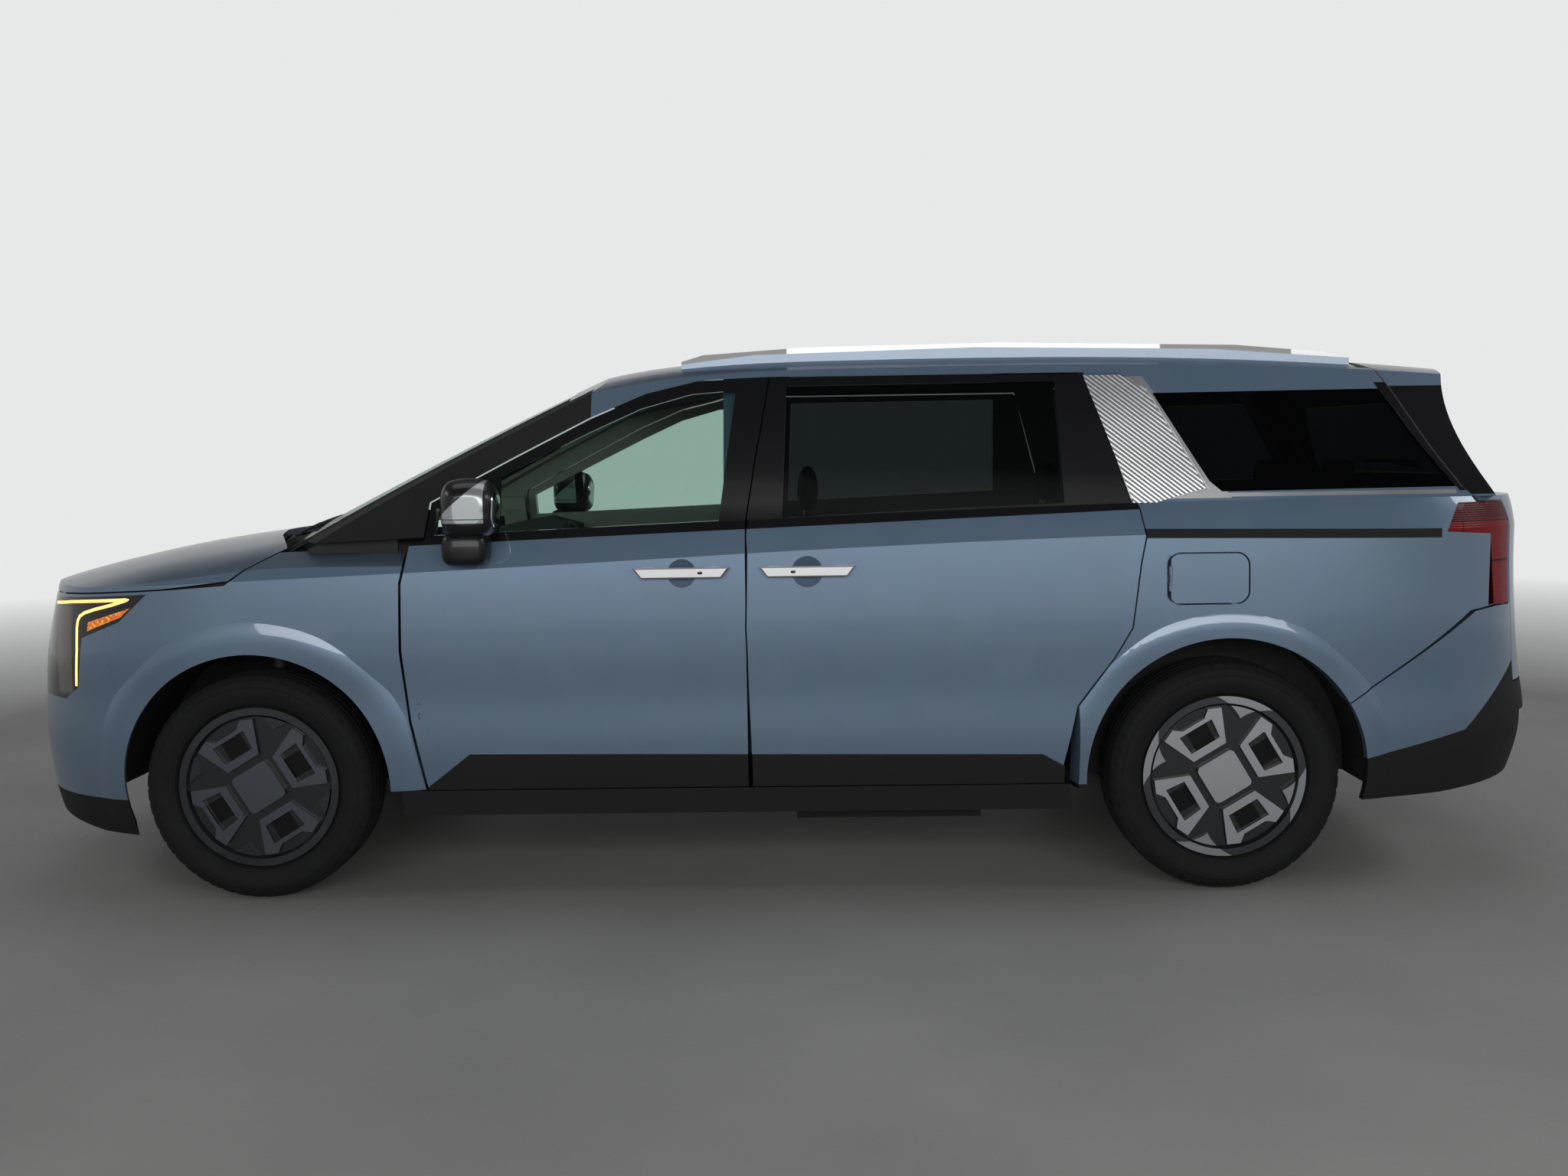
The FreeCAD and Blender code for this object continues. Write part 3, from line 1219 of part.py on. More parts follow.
# Tailgate, rear bumper and tail lamps
gate_wall = upper_wall.fuse(rear_wall)
gate_upper_outline = [(x, z) for x, z in tailgate_cut] + [
    (tailgate_cut[-1][0], size.belt_height),
    (half_length * 1.05, size.belt_height),
    (half_length * 1.05, size.body_height * 1.05),
    (tailgate_cut[0][0], size.body_height * 1.05),
]
gate_upper = gate_wall.common(prism(gate_upper_outline, "xz", -half_span, half_span))
gate_low = gate_wall.common(prism(gate_low_outline, "yz", half_length * 0.86, half_length * 1.05))
gate = gate_upper.fuse(gate_low)
gate = gate.cut(cylinder_across(size.tailgate_hinge_radius, hinge_x, hinge_z, -half_span, half_span))
for side in (-1, 1):
    middle = side * size.tailgate_hinge_spacing / 2
    low, high = middle - arm_half, middle + arm_half
    arm = Part.makeBox(size.tailgate_hinge_radius + size.hinge_eye_radius, high - low,
                       size.hinge_eye_radius * 2,
                       Vector(hinge_x, low, hinge_z - size.hinge_eye_radius))
    arm = arm.fuse(cylinder_across(size.hinge_eye_radius, hinge_x, hinge_z, low, high))
    arm = arm.cut(cylinder_across(size.hinge_pin_radius + size.pin_clearance, hinge_x, hinge_z, low, high))
    gate = gate.fuse(arm.common(upper_outer))
lamp_clear = prism(grown(tail_lamp_outline, gap), "xz", -half_span, -half_width * 0.80 + gap)
lamp_clear = lamp_clear.fuse(mirrored(lamp_clear))
gate = gate.cut(lamp_clear)
gate_window_shares = [(-0.74, 0.735), (-0.65, 0.882), (0.65, 0.882), (0.74, 0.735)]
gate_window = [(y * half_width, z * size.body_height) for y, z in gate_window_shares]
gate_window_hole = prism(gate_window, "yz", half_length * 0.8, half_length * 1.05)
gate = gate.cut(gate_window_hole)
plate_recess = Part.makeBox(
    half_length, size.plate_recess_width, size.plate_recess_height,
    Vector(size.plate_seat_x, -size.plate_recess_width / 2, size.plate_recess_bottom))
gate = gate.cut(plate_recess)
plate_middle = size.plate_recess_bottom + size.plate_recess_height / 2
for across in (-1, 1):
    for up in (-1, 1):
        foot = Vector(size.plate_seat_x - size.plate_hole_depth,
                      across * size.plate_hole_spacing_across / 2,
                      plate_middle + up * size.plate_hole_spacing_up / 2)
        gate = gate.cut(Part.makeCylinder(size.plate_hole_radius, size.plate_hole_depth * 2, foot,
                                          Vector(1, 0, 0)))
add_shape("tailgate", gate)
gate_pane = prism(grown(gate_window, -size.seat_gap), "yz", half_length * 0.8, half_length * 1.05)
add_shape("tailgate_window", glass_wall.common(gate_pane))

# Rear bumper, tail lamps and roof rails
REAR_BUMPER_LOW_SHARES = [(1.05, 0.506), (1.05, 0.205), (0.95, 0.190), (0.83, 0.170), (0.70, 0.160)]
rear_bumper_outline = rear_bumper_cut + side_points(REAR_BUMPER_LOW_SHARES)
rear_shell = rear_outer.cut(lower_half(size.hood_thickness, 1)).fuse([rear_flare, mirrored(rear_flare)])
rear_bumper = rear_shell.common(prism(rear_bumper_outline, "xz", -half_span, half_span))
rear_bumper = rear_bumper.cut(gate_clear)
both_rear_arches = rear_arch.fuse(mirrored(rear_arch))
rear_bumper = rear_bumper.cut(both_rear_arches)
rear_bumper = rear_bumper.cut(lamp_clear)
add_shape("rear_bumper", rear_bumper)

tail_lamp_zone = prism(tail_lamp_outline, "xz", -half_span, -half_width * 0.80)
tail_lamp_stock = rear_outer.cut(lower_half(size.hood_thickness * 2, 1)).common(below_cutter)
tail_lamp = largest_solid(tail_lamp_stock.common(tail_lamp_zone))
add_shape("tail_lamps", Part.makeCompound([tail_lamp, mirrored(tail_lamp)]), True)

RAIL_SHARES = [(-0.108, 0.0), (-0.080, 0.60), (0.05, 0.92), (0.30, 1.0), (0.60, 0.95), (0.71, 0.55),
               (0.745, 0.0)]


def roof_rail():
    top = []
    low = []
    for x_share, rise in RAIL_SHARES:
        x = x_share * half_length
        seat = roof_z(x, size.rail_half_spacing)
        top.append((x, seat + size.rail_foot_height + rise * (size.rail_height - size.rail_foot_height)))
        low.append((x, seat - size.overrun))
    body = prism(top + list(reversed(low)), "xz",
                 -size.rail_half_spacing - size.rail_width / 2, -size.rail_half_spacing + size.rail_width / 2)
    return body.cut(upper_solid(-size.seat_gap, -size.seat_gap, -size.seat_gap, -size.seat_gap))


rail = largest_solid(roof_rail())
add_shape("roof_rails", Part.makeCompound([rail, mirrored(rail)]), True)

# Floor, firewall, plenum, aprons and the rear wheel houses, one welded pressing
floor_top = size.floor_height
floor_low = floor_top - size.floor_thickness
firewall_front = size.firewall_x - size.firewall_thickness
house_inner = size.rear_floor_half_width
house_radius = size.rear_arch_radius + size.wheel_house_margin
house_start = rear_axle_x - house_radius + size.floor_thickness
floor_main = Part.makeBox(house_start - firewall_front, 2 * size.floor_half_width, size.floor_thickness,
                          Vector(firewall_front, -size.floor_half_width, floor_low))
floor_rear = Part.makeBox(half_length - house_start + size.overrun, 2 * house_inner, size.floor_thickness,
                          Vector(house_start - size.overrun, -house_inner, floor_low))
inside_bumper = lower_half(size.hood_thickness + size.seat_gap, 1)
floor_rear = floor_rear.common(inside_bumper)
firewall = Part.makeBox(
    size.firewall_thickness, 2 * size.floor_half_width, size.plenum_height + size.plenum_thickness - floor_low,
    Vector(firewall_front, -size.floor_half_width, floor_low))
plenum = Part.makeBox(size.plenum_length + size.firewall_thickness, 2 * size.floor_half_width,
                      size.plenum_thickness,
                      Vector(firewall_front - size.plenum_length, -size.floor_half_width, size.plenum_height))
apron_height = size.belt_height * 0.72 - floor_low
floor_pieces = [floor_rear, firewall, plenum]
for side in (-1, 1):
    inner_face = side * size.apron_half_width
    floor_pieces.append(Part.makeBox(
        size.apron_length + size.overrun / 2, size.apron_thickness, apron_height,
        Vector(firewall_front - size.apron_length,
               min(inner_face, inner_face - side * size.apron_thickness), floor_low)))
    middle = side * size.hood_hinge_spacing / 2
    face = middle + side * (arm_half + size.seat_gap * 2)
    low, high = sorted((face, face + side * size.hinge_arm_width))
    plenum_top = size.plenum_height + size.plenum_thickness
    bracket = Part.makeBox(
        2 * size.hinge_eye_radius, high - low, hood_pin_z - plenum_top + size.plenum_thickness / 2,
        Vector(hood_pin_x - size.hinge_eye_radius, low, plenum_top - size.plenum_thickness / 2))
    bracket = bracket.fuse(cylinder_across(size.hinge_eye_radius, hood_pin_x, hood_pin_z, low, high))
    pin_low, pin_high = sorted((middle - side * arm_half, middle + side * (arm_half + size.hinge_arm_width)))
    floor_pieces.append(bracket.fuse(
        cylinder_across(size.hinge_pin_radius, hood_pin_x, hood_pin_z, pin_low, pin_high)))
floor_pan = floor_main.fuse(floor_pieces)
house_shell = cylinder_across(house_radius, rear_axle_x, hub_height, -half_span,
                              -house_inner + size.wheel_house_thickness)
house_space = cylinder_across(house_radius - size.wheel_house_thickness, rear_axle_x, hub_height,
                              -half_span, -house_inner)
above_floor = Part.makeBox(2 * house_radius, half_span, house_radius,
                           Vector(rear_axle_x - house_radius, -half_span, floor_low))
inside_wall = lower_half(wall + size.seat_gap, 1)
house = house_shell.cut(house_space).common(above_floor).common(inside_wall)
both_spaces = house_space.fuse(mirrored(house_space))
floor_pan = floor_pan.fuse([house, mirrored(house)]).cut(both_spaces)
add_shape("floor_pan", floor_pan)

# Load floor behind the third row
load_floor = Part.makeBox(size.load_floor_length, size.load_floor_width, size.load_floor_thickness,
                          Vector(size.load_floor_x, -size.load_floor_width / 2, floor_top))
upright = [edge for edge in load_floor.Edges if abs(edge.tangentAt(edge.FirstParameter).z) > 0.9]
add_shape("load_floor", load_floor.makeFillet(size.load_floor_thickness * 2, upright))


def liner_block(margin):
    """Oval block over a front wheel, wide enough for the steered tyre."""
    middle = Vector(front_axle_x, -half_width, hub_height)
    oval = Part.Ellipse(middle + Vector(size.liner_half_length + margin, 0, 0),
                        middle + Vector(0, 0, size.liner_height + margin), middle)
    return Part.Face(Part.Wire(oval.toShape())).extrude(Vector(0, half_width - size.apron_half_width - size.seat_gap, 0))


liner = liner_block(size.liner_thickness).cut(liner_block(0))
above_hub = Part.makeBox(front_x - size.hinge_pillar_lead - gap + half_length, half_width, size.body_height,
                         Vector(-half_length, -half_width, hub_height - size.liner_thickness))
liner = liner.common(above_hub).common(lower_half(size.skin_thickness + size.seat_gap, -1))
strut_space = Part.makeCylinder(size.steer_pin_radius * 1.4, size.body_height,
                                Vector(front_axle_x, -size.kingpin_half_spacing, hub_height))
liner = largest_solid(liner.cut(strut_space))
add_shape("front_wheel_liners", Part.makeCompound([liner, mirrored(liner)]), True)

# Dashboard and seats
DASH_SHARES = [(0.0, 0.245), (0.0, 0.640), (0.060, 0.655), (0.110, 0.635), (0.117, 0.560),
               (0.085, 0.430), (0.065, 0.245)]
dash_front = size.firewall_x + size.seat_gap
dash_outline = [(dash_front + x * half_length, z * size.body_height) for x, z in DASH_SHARES]
dash = prism(dash_outline, "xz", -half_width * 0.80, half_width * 0.80)


# Seats: a plinth, a cushion, a back and a headrest, each its own closed block
CUSHION_SHARES = [(0.00, 0.25), (0.04, 0.92), (0.16, 1.0), (0.80, 0.86), (1.0, 0.72), (1.0, 0.0), (0.06, 0.0)]
BACK_SHARES = [(0.0, 0.0), (0.26, 0.36), (0.40, 0.74), (0.52, 1.0), (0.76, 1.0), (0.80, 0.90), (0.66, 0.50),
               (0.48, 0.0)]


def seat(x, y, width, places):
    """Seat or bench whose cushion starts at x, with a headrest for each place."""
    low, high = y - width / 2, y + width / 2
    plinth_top = floor_top + size.seat_plinth_height
    cushion_low = plinth_top + size.seat_gap
    plinth = Part.makeBox(size.cushion_length * 0.8, width * 0.8, size.seat_plinth_height - size.seat_gap,
                          Vector(x + size.cushion_length * 0.1, y - width * 0.4, floor_top + size.seat_gap))
    cushion = prism([(x + a * size.cushion_length, cushion_low + b * size.cushion_thickness)
                     for a, b in CUSHION_SHARES], "xz", low, high)
    back_x = x + size.cushion_length + size.seat_gap
    back_low = cushion_low + size.cushion_thickness * 0.3
    back = prism([(back_x + a * size.back_lean, back_low + b * size.back_height) for a, b in BACK_SHARES],
                 "xz", low, high)
    solids = [plinth, cushion, back]
    rest_x = back_x + size.back_lean * 0.50
    rest_low = back_low + size.back_height + size.seat_gap
    for place in range(places):
        middle = low + width * (place + 0.5) / places
        rest = Part.makeBox(size.headrest_depth, size.headrest_width, size.headrest_height,
                            Vector(rest_x, middle - size.headrest_width / 2, rest_low))
        upright = [edge for edge in rest.Edges if abs(edge.tangentAt(edge.FirstParameter).x) > 0.9]
        solids.append(rest.makeFillet(size.headrest_depth / 3, upright))
    return solids


def seat_row(name, x, places, width, headrests):
    solids = []
    for y in places:
        solids += seat(x, y, width, headrests)
    add_shape(name, Part.makeCompound(solids), True)


seat_row("front_seats", size.front_seat_x, (-size.seat_offset, size.seat_offset), size.seat_width, 1)
seat_row("middle_seats", size.middle_seat_x, (-size.seat_offset, size.seat_offset), size.seat_width, 1)
seat_row("rear_seats", size.rear_seat_x, (0.0,), size.bench_width, 3)

# Steering wheel on its column, which enters the dashboard
wheel_ring = Part.makeTorus(size.steering_ring_radius, size.steering_grip_radius)
wheel_hub = Part.makeCylinder(size.steering_hub_radius, size.steering_hub_depth,
                              Vector(0, 0, -size.steering_hub_depth * 0.75))
column_radius = size.steering_hub_radius / 2
column_foot = -size.steering_column_length - size.steering_hub_depth / 2
wheel_column = Part.makeCylinder(column_radius, size.steering_column_length, Vector(0, 0, column_foot))
spokes = []
for angle in (0, 125, 235):
    spoke = Part.makeBox(size.steering_ring_radius, size.steering_grip_radius * 2.2, size.steering_grip_radius,
                         Vector(0, -size.steering_grip_radius * 1.1, -size.steering_grip_radius / 2))
    spoke.rotate(Vector(0, 0, 0), Vector(0, 0, 1), angle)
    spokes.append(spoke)
steering = wheel_ring.fuse([wheel_hub, wheel_column] + spokes)
steering_place = Placement(Vector(size.steering_x, -size.seat_offset, size.steering_height),
                           Rotation(Vector(0, 1, 0), 65))
add_shape("steering_wheel", steering, place=steering_place)
column_space = Part.makeCylinder(column_radius + size.seat_gap, size.steering_column_length + size.seat_gap,
                                 Vector(0, 0, column_foot - size.seat_gap))
column_space.Placement = steering_place
add_shape("dashboard", dash.cut(column_space))


# Running gear
def bound(feature, **bindings):
    for name, expression in bindings.items():
        feature.setExpression(name.replace("__", "."), expression)


engine = doc.addObject("Part::Box", "engine_block")
engine.Label = "engine_block"
bound(engine, Length="Sizes.engine_length", Width="Sizes.engine_width", Height="Sizes.engine_height",
      Placement__Base__x="Sizes.engine_x", Placement__Base__y="-Sizes.engine_width / 2",
      Placement__Base__z="Sizes.subframe_bottom + Sizes.subframe_height + Sizes.seat_gap")
parts["engine_block"] = engine

radiator = doc.addObject("Part::Box", "radiator")
radiator.Label = "radiator"
bound(radiator, Length="Sizes.radiator_depth", Width="2 * Sizes.apron_half_width", Height="Sizes.radiator_height",
      Placement__Base__x="Sizes.firewall_x - Sizes.firewall_thickness - Sizes.apron_length"
                         " - Sizes.radiator_depth - Sizes.seat_gap",
      Placement__Base__y="-Sizes.apron_half_width",
      Placement__Base__z="Sizes.floor_height - Sizes.floor_thickness")
parts["radiator"] = radiator

tank = doc.addObject("Part::Box", "fuel_tank")
tank.Label = "fuel_tank"
bound(tank, Length="Sizes.tank_length", Width="Sizes.tank_width", Height="Sizes.tank_height",
      Placement__Base__x="Sizes.door_split_x + Sizes.tank_height",
      Placement__Base__y="Sizes.tank_right_edge - Sizes.tank_width",
      Placement__Base__z="Sizes.floor_height - Sizes.floor_thickness - Sizes.tank_height - Sizes.seat_gap")
parts["fuel_tank"] = tank


def add_body(name):
    body = doc.addObject("PartDesign::Body", name)
    body.Label = name
    parts[name] = body
    return body


def draw_profile(body, name, plane, corners):
    """Closed sketch of straight lines whose corners are bound to expressions of the sheet."""
    sketch = body.newObject("Sketcher::SketchObject", name)
    origin = [item for item in body.Origin.OriginFeatures if item.Role == plane][0]
    sketch.AttachmentSupport = [(origin, "")]
    sketch.MapMode = "FlatFace"
    places = [Vector(body.evalExpression(a), body.evalExpression(b), 0) for a, b in corners]
    count = len(places)
    lines = [Part.LineSegment(places[i], places[(i + 1) % count]) for i in range(count)]
    sketch.addGeometry(lines, False)
    for i in range(count):
        sketch.addConstraint(Sketcher.Constraint("Coincident", i, 2, (i + 1) % count, 1))
    for i, (a, b) in enumerate(corners):
        across = sketch.addConstraint(Sketcher.Constraint("DistanceX", -1, 1, i, 1, places[i].x))
        sketch.setExpression("Constraints[%d]" % across, a)
        up = sketch.addConstraint(Sketcher.Constraint("DistanceY", -1, 1, i, 1, places[i].y))
        sketch.setExpression("Constraints[%d]" % up, b)
    return sketch


def spin(body, name, sketch):
    """Full turn of a profile about the wheel's axle, the Y axis."""
    turned = body.newObject("PartDesign::Revolution", name)
    turned.Profile = sketch
    turned.ReferenceAxis = (sketch, ["H_Axis"])
    turned.Angle = 360
    sketch.Visibility = False
    return turned


TYRE_CORNERS = [
    ("-Sizes.tyre_width * 0.36", "Sizes.rim_bead_radius"),
    ("-Sizes.tyre_width * 0.36", "Sizes.rim_radius + Sizes.seat_gap"),
    ("-Sizes.tyre_width * 0.41", "Sizes.rim_radius + Sizes.seat_gap"),
    ("-Sizes.tyre_width * 0.47", "Sizes.rim_radius + Sizes.tyre_width * 0.12"),
    ("-Sizes.tyre_width / 2", "Sizes.tyre_radius * 0.86"),
    ("-Sizes.tyre_width * 0.46", "Sizes.tyre_radius * 0.95"),
    ("-Sizes.tyre_width * 0.38", "Sizes.tyre_radius * 0.99"),
    ("-Sizes.tyre_width * 0.28", "Sizes.tyre_radius"),
    ("Sizes.tyre_width * 0.28", "Sizes.tyre_radius"),
    ("Sizes.tyre_width * 0.38", "Sizes.tyre_radius * 0.99"),
    ("Sizes.tyre_width * 0.46", "Sizes.tyre_radius * 0.95"),
    ("Sizes.tyre_width / 2", "Sizes.tyre_radius * 0.86"),
    ("Sizes.tyre_width * 0.47", "Sizes.rim_radius + Sizes.tyre_width * 0.12"),
    ("Sizes.tyre_width * 0.41", "Sizes.rim_radius + Sizes.seat_gap"),
    ("Sizes.tyre_width * 0.36", "Sizes.rim_radius + Sizes.seat_gap"),
    ("Sizes.tyre_width * 0.36", "Sizes.rim_bead_radius"),
]
RIM_CORNERS = [
    ("-Sizes.tyre_width * 0.405", "Sizes.rim_radius"),
    ("-Sizes.tyre_width * 0.362", "Sizes.rim_radius"),
    ("-Sizes.tyre_width * 0.362", "Sizes.rim_bead_radius - Sizes.seat_gap"),
    ("Sizes.tyre_width * 0.362", "Sizes.rim_bead_radius - Sizes.seat_gap"),
    ("Sizes.tyre_width * 0.362", "Sizes.rim_radius"),
    ("Sizes.tyre_width * 0.405", "Sizes.rim_radius"),
    ("Sizes.tyre_width * 0.405", "Sizes.rim_bead_radius - Sizes.rim_barrel_thickness"),
    ("-Sizes.tyre_width * 0.30", "Sizes.rim_bead_radius - Sizes.rim_barrel_thickness"),
    ("-Sizes.tyre_width * 0.30", "Sizes.hub_radius"),
    ("-Sizes.tyre_width * 0.1", "Sizes.hub_radius"),
    ("-Sizes.tyre_width * 0.1", "Sizes.disc_radius"),
    ("-Sizes.tyre_width * 0.1 + Sizes.disc_thickness", "Sizes.disc_radius"),
    ("-Sizes.tyre_width * 0.1 + Sizes.disc_thickness", "0"),
    ("-Sizes.tyre_width * 0.34", "0"),
    ("-Sizes.tyre_width * 0.34", "Sizes.rim_bead_radius - Sizes.rim_barrel_thickness"),
    ("-Sizes.tyre_width * 0.405", "Sizes.rim_bead_radius - Sizes.rim_lip_depth"),
]
# The wheel's face. Four frames stand round a square cap, each with a window inside and with
# arms that end short of the rim, four wedges point inwards between them, and a lip with a
# straight inner edge closes the rim behind each frame. Shares are of the rim's radius, turns
# are from the middle of a frame.
FRAME_SHARES = [(0.42, -33), (0.86, -28), (0.865, -17), (0.765, -11.5), (0.765, 11.5), (0.865, 17),
                (0.86, 28), (0.42, 33)]
WINDOW_SHARES = [(0.495, -24), (0.735, -18), (0.735, 18), (0.495, 24)]
GAP_SHARES = [(0.50, 38.5), (0.70, 39), (0.735, 45), (0.70, 51), (0.50, 51.5)]
WEDGE_SHARES = [(0.735, 45), (0.955, 30), (1.04, 45), (0.955, 60)]
LIP_CHORD_SHARE = 0.89
RIM_FACE_TURN = 31.0


def around(shares):
    """Corners in the plane of the wheel, from shares of the rim's radius and turns."""
    corners = []
    for share, turn in shares:
        angle = math.radians(turn)
        corners.append((size.rim_radius * share * math.cos(angle), size.rim_radius * share * math.sin(angle)))
    return corners


def wheel_face():
    """Spoked face of a wheel about the origin, seen from -Y."""
    outer = -size.tyre_width * 0.40
    dish = outer + size.rim_dish_depth
    back = dish + size.spoke_thickness / 2
    lip_radius = size.rim_bead_radius - size.rim_barrel_thickness + size.seat_gap
    plate = Part.makeCylinder(lip_radius, back - dish, Vector(0, dish, 0), Vector(0, 1, 0))
    raised, holes = [], []
    for quarter in range(4):
        turn = Placement(Vector(), Rotation(Vector(0, -1, 0), RIM_FACE_TURN + 90 * quarter))
        chord = Part.makeBox(size.rim_radius, dish - outer, 2 * size.rim_radius,
                             Vector(size.rim_radius * LIP_CHORD_SHARE, outer + size.rim_lip_depth, -size.rim_radius))
        cell = [
            prism(around(FRAME_SHARES), "xz", outer, dish + size.rim_lip_depth),
            prism(around(WEDGE_SHARES), "xz", outer + size.rim_lip_depth, dish + size.rim_lip_depth), chord]
        window = prism(around(WINDOW_SHARES), "xz", outer - size.overrun, back + size.overrun)
        slot = prism(around(GAP_SHARES), "xz", outer - size.overrun, back + size.overrun)
        for shape in cell:
            shape.Placement = turn
            raised.append(shape)
        for shape in (window, slot):
            shape.Placement = turn
            holes.append(shape)
    cap = Part.makeBox(size.cap_width, dish - outer, size.cap_width,
                       Vector(-size.cap_width / 2, outer - size.rim_lip_depth / 2, -size.cap_width / 2))
    cap = cap.makeFillet(size.cap_corner, [e for e in cap.Edges if abs(e.tangentAt(e.FirstParameter).y) > 0.9])
    cap.Placement = Placement(Vector(), Rotation(Vector(0, -1, 0), RIM_FACE_TURN))
    rim_space = Part.makeCylinder(lip_radius, size.tyre_width, Vector(0, -size.tyre_width / 2, 0), Vector(0, 1, 0))
    face = plate.fuse(raised).cut(holes).common(rim_space)
    return face.fuse(cap)


face = wheel_face()
for end, axle in (("front", "-Sizes.body_length / 2 + Sizes.front_overhang"),
                  ("rear", "-Sizes.body_length / 2 + Sizes.front_overhang + Sizes.wheelbase")):
    for side, sign in (("left", -1), ("right", 1)):
        for kind, corners in (("tyre", TYRE_CORNERS), ("rim", RIM_CORNERS)):
            name = "%s_%s_%s" % (kind, end, side)
            body = add_body(name)
            profile = draw_profile(body, name + "_profile", "YZ_Plane", corners)
            spin(body, name + "_turned", profile)
            if kind == "rim":
                cast = doc.addObject("Part::Feature", name + "_face")
                cast.Shape = face
                body.Label = name + "_barrel"
                wheel = doc.addObject("Part::Fuse", name + "_whole")
                wheel.Base, wheel.Tool, wheel.Label = body, cast, name
                parts[name] = wheel
                body = wheel
            body.setExpression("Placement.Base.x", axle)
            body.setExpression(
                "Placement.Base.y",
                "%d * (Sizes.wheel_outer_face - Sizes.tyre_width / 2)" % sign)
            body.setExpression("Placement.Base.z", "Sizes.tyre_radius")
            if sign > 0:
                body.Placement.Rotation = Rotation(Vector(0, 0, 1), 180)


# Knuckles with their calipers, subframes, struts and the rear axle
wheel_middle = size.wheel_outer_face - size.tyre_width / 2
disc_inner = wheel_middle + size.tyre_width * 0.1 - size.disc_thickness


def knuckle():
    """Hub carrier and caliper of the left front wheel, turning on an upright pin."""
    carrier = cylinder_across(52, front_axle_x, hub_height, -disc_inner + size.seat_gap,
                              -size.kingpin_half_spacing)
    pin_boss = Part.makeCylinder(size.steer_pin_radius, 200,
                                 Vector(front_axle_x, -size.kingpin_half_spacing, hub_height - 100))
    bracket = cylinder_across(size.disc_radius + 26, front_axle_x, hub_height,
                              -disc_inner - size.disc_thickness - 14, -disc_inner + 40)
    bracket = bracket.cut(cylinder_across(size.disc_radius - 52, front_axle_x, hub_height, -half_span, -disc_inner + 14))
    slot = cylinder_across(size.disc_radius + 6, front_axle_x, hub_height,
                           -disc_inner - size.disc_thickness - 6, -disc_inner + 6)
    sector = Part.makeBox(200, half_width, 130, Vector(front_axle_x + 30, -half_width, hub_height - 65))
    caliper = bracket.cut(slot).common(sector)
    return carrier.fuse([pin_boss, caliper])


left_knuckle = knuckle()
add_pair("knuckle", left_knuckle)

joint_clear = size.seat_gap
subframe = Part.makeBox(420, 2 * 460, size.subframe_height,
                        Vector(front_axle_x - 160, -460, size.subframe_bottom))
arms = []
for sign in (-1, 1):
    arm = prism([(front_axle_x - 150, sign * 440), (front_axle_x + 200, sign * 440),
                 (front_axle_x + 24, sign * (size.kingpin_half_spacing + 22)),
                 (front_axle_x - 24, sign * (size.kingpin_half_spacing + 22))], "xy", 222,
                hub_height - 100 - joint_clear - 10)
    ball = Part.makeCylinder(22, 40, Vector(front_axle_x, sign * size.kingpin_half_spacing, hub_height - 100 - joint_clear - 40))
    strut = Part.makeCylinder(22, 380, Vector(front_axle_x, sign * size.kingpin_half_spacing, hub_height + 100 + joint_clear))
    mount = Part.makeBox(120, size.kingpin_half_spacing + 60 - size.apron_half_width, 20,
                         Vector(front_axle_x - 60, -size.kingpin_half_spacing - 60 if sign < 0 else size.apron_half_width,
                                hub_height + 480 + joint_clear))
    arms += [arm, ball, strut, mount]
front_subframe = subframe.fuse(arms[:2] + arms[4:6])
add_shape("front_subframe", front_subframe)
struts = Part.makeCompound([arms[2].fuse(arms[3]), arms[6].fuse(arms[7])])
add_shape("front_struts", struts, True)

rear_beam = Part.makeBox(360, 2 * 722, 40, Vector(rear_axle_x - 200, -722, 176))
rear_parts = []
for sign in (-1, 1):
    low, high = sorted((sign * 704, sign * (disc_inner - size.seat_gap)))
    rear_parts.append(cylinder_across(48, rear_axle_x, hub_height, low, high))
    low, high = sorted((sign * 704, sign * 728))
    rear_parts.append(Part.makeBox(110, high - low, 200, Vector(rear_axle_x - 55, low, 200)))
    low, high = sorted((sign * 560, sign * 620))
    rear_parts.append(Part.makeBox(60, high - low, floor_low - size.seat_gap - 200,
                                   Vector(rear_axle_x - 190, low, 200)))
    rear_parts.append(Part.makeBox(60, high - low, floor_low - size.seat_gap - 200,
                                   Vector(rear_axle_x + 90, low, 200)))
rear_axle = rear_beam.fuse(rear_parts)
add_shape("rear_axle", rear_axle)

pipe_route = [Vector(-900, 120, 250), Vector(700, 120, 250), Vector(900, 440, 250), Vector(1900, 440, 250),
              Vector(2300, 560, 262)]
pieces = []
for a, b in zip(pipe_route, pipe_route[1:]):
    run = b - a
    pieces.append(Part.makeCylinder(28, run.Length, a, run))
    pieces.append(Part.makeSphere(28, b))
for x, y in ((-600, 120), (1150, 440), (1900, 440)):
    pieces.append(Part.makeCylinder(6, floor_low - size.seat_gap - 250, Vector(x, y, 250)))
exhaust = pieces[0].fuse(pieces[1:])
add_shape("exhaust", exhaust)

doc.recompute()
failed = [item.Label for item in doc.Objects if "Invalid" in item.State or "Error" in item.State]
for name, feature in parts.items():
    if feature.Shape.isNull() or not feature.Shape.isValid() or not feature.Shape.Solids:
        failed.append(name)
if failed:
    raise ValueError("these did not build: " + ", ".join(sorted(failed)))
os.makedirs("parts", exist_ok=True)
for name, feature in parts.items():
    feature.Shape.exportStep("parts/%s.step" % name)
print(len(parts), "sub-parts written")
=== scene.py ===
# %% [markdown]
# # A slate blue minivan, dressed piece by piece
# The doors, lids, glass, wheels and floor of this minivan come from a imported CAD model.
# This script gives each of those parts the finish that the real one has, and adds what a
# CAD model leaves out: tread blocks, sewn seats, light guides, wipers, seals and screws.

# %% Load the imported model
import math

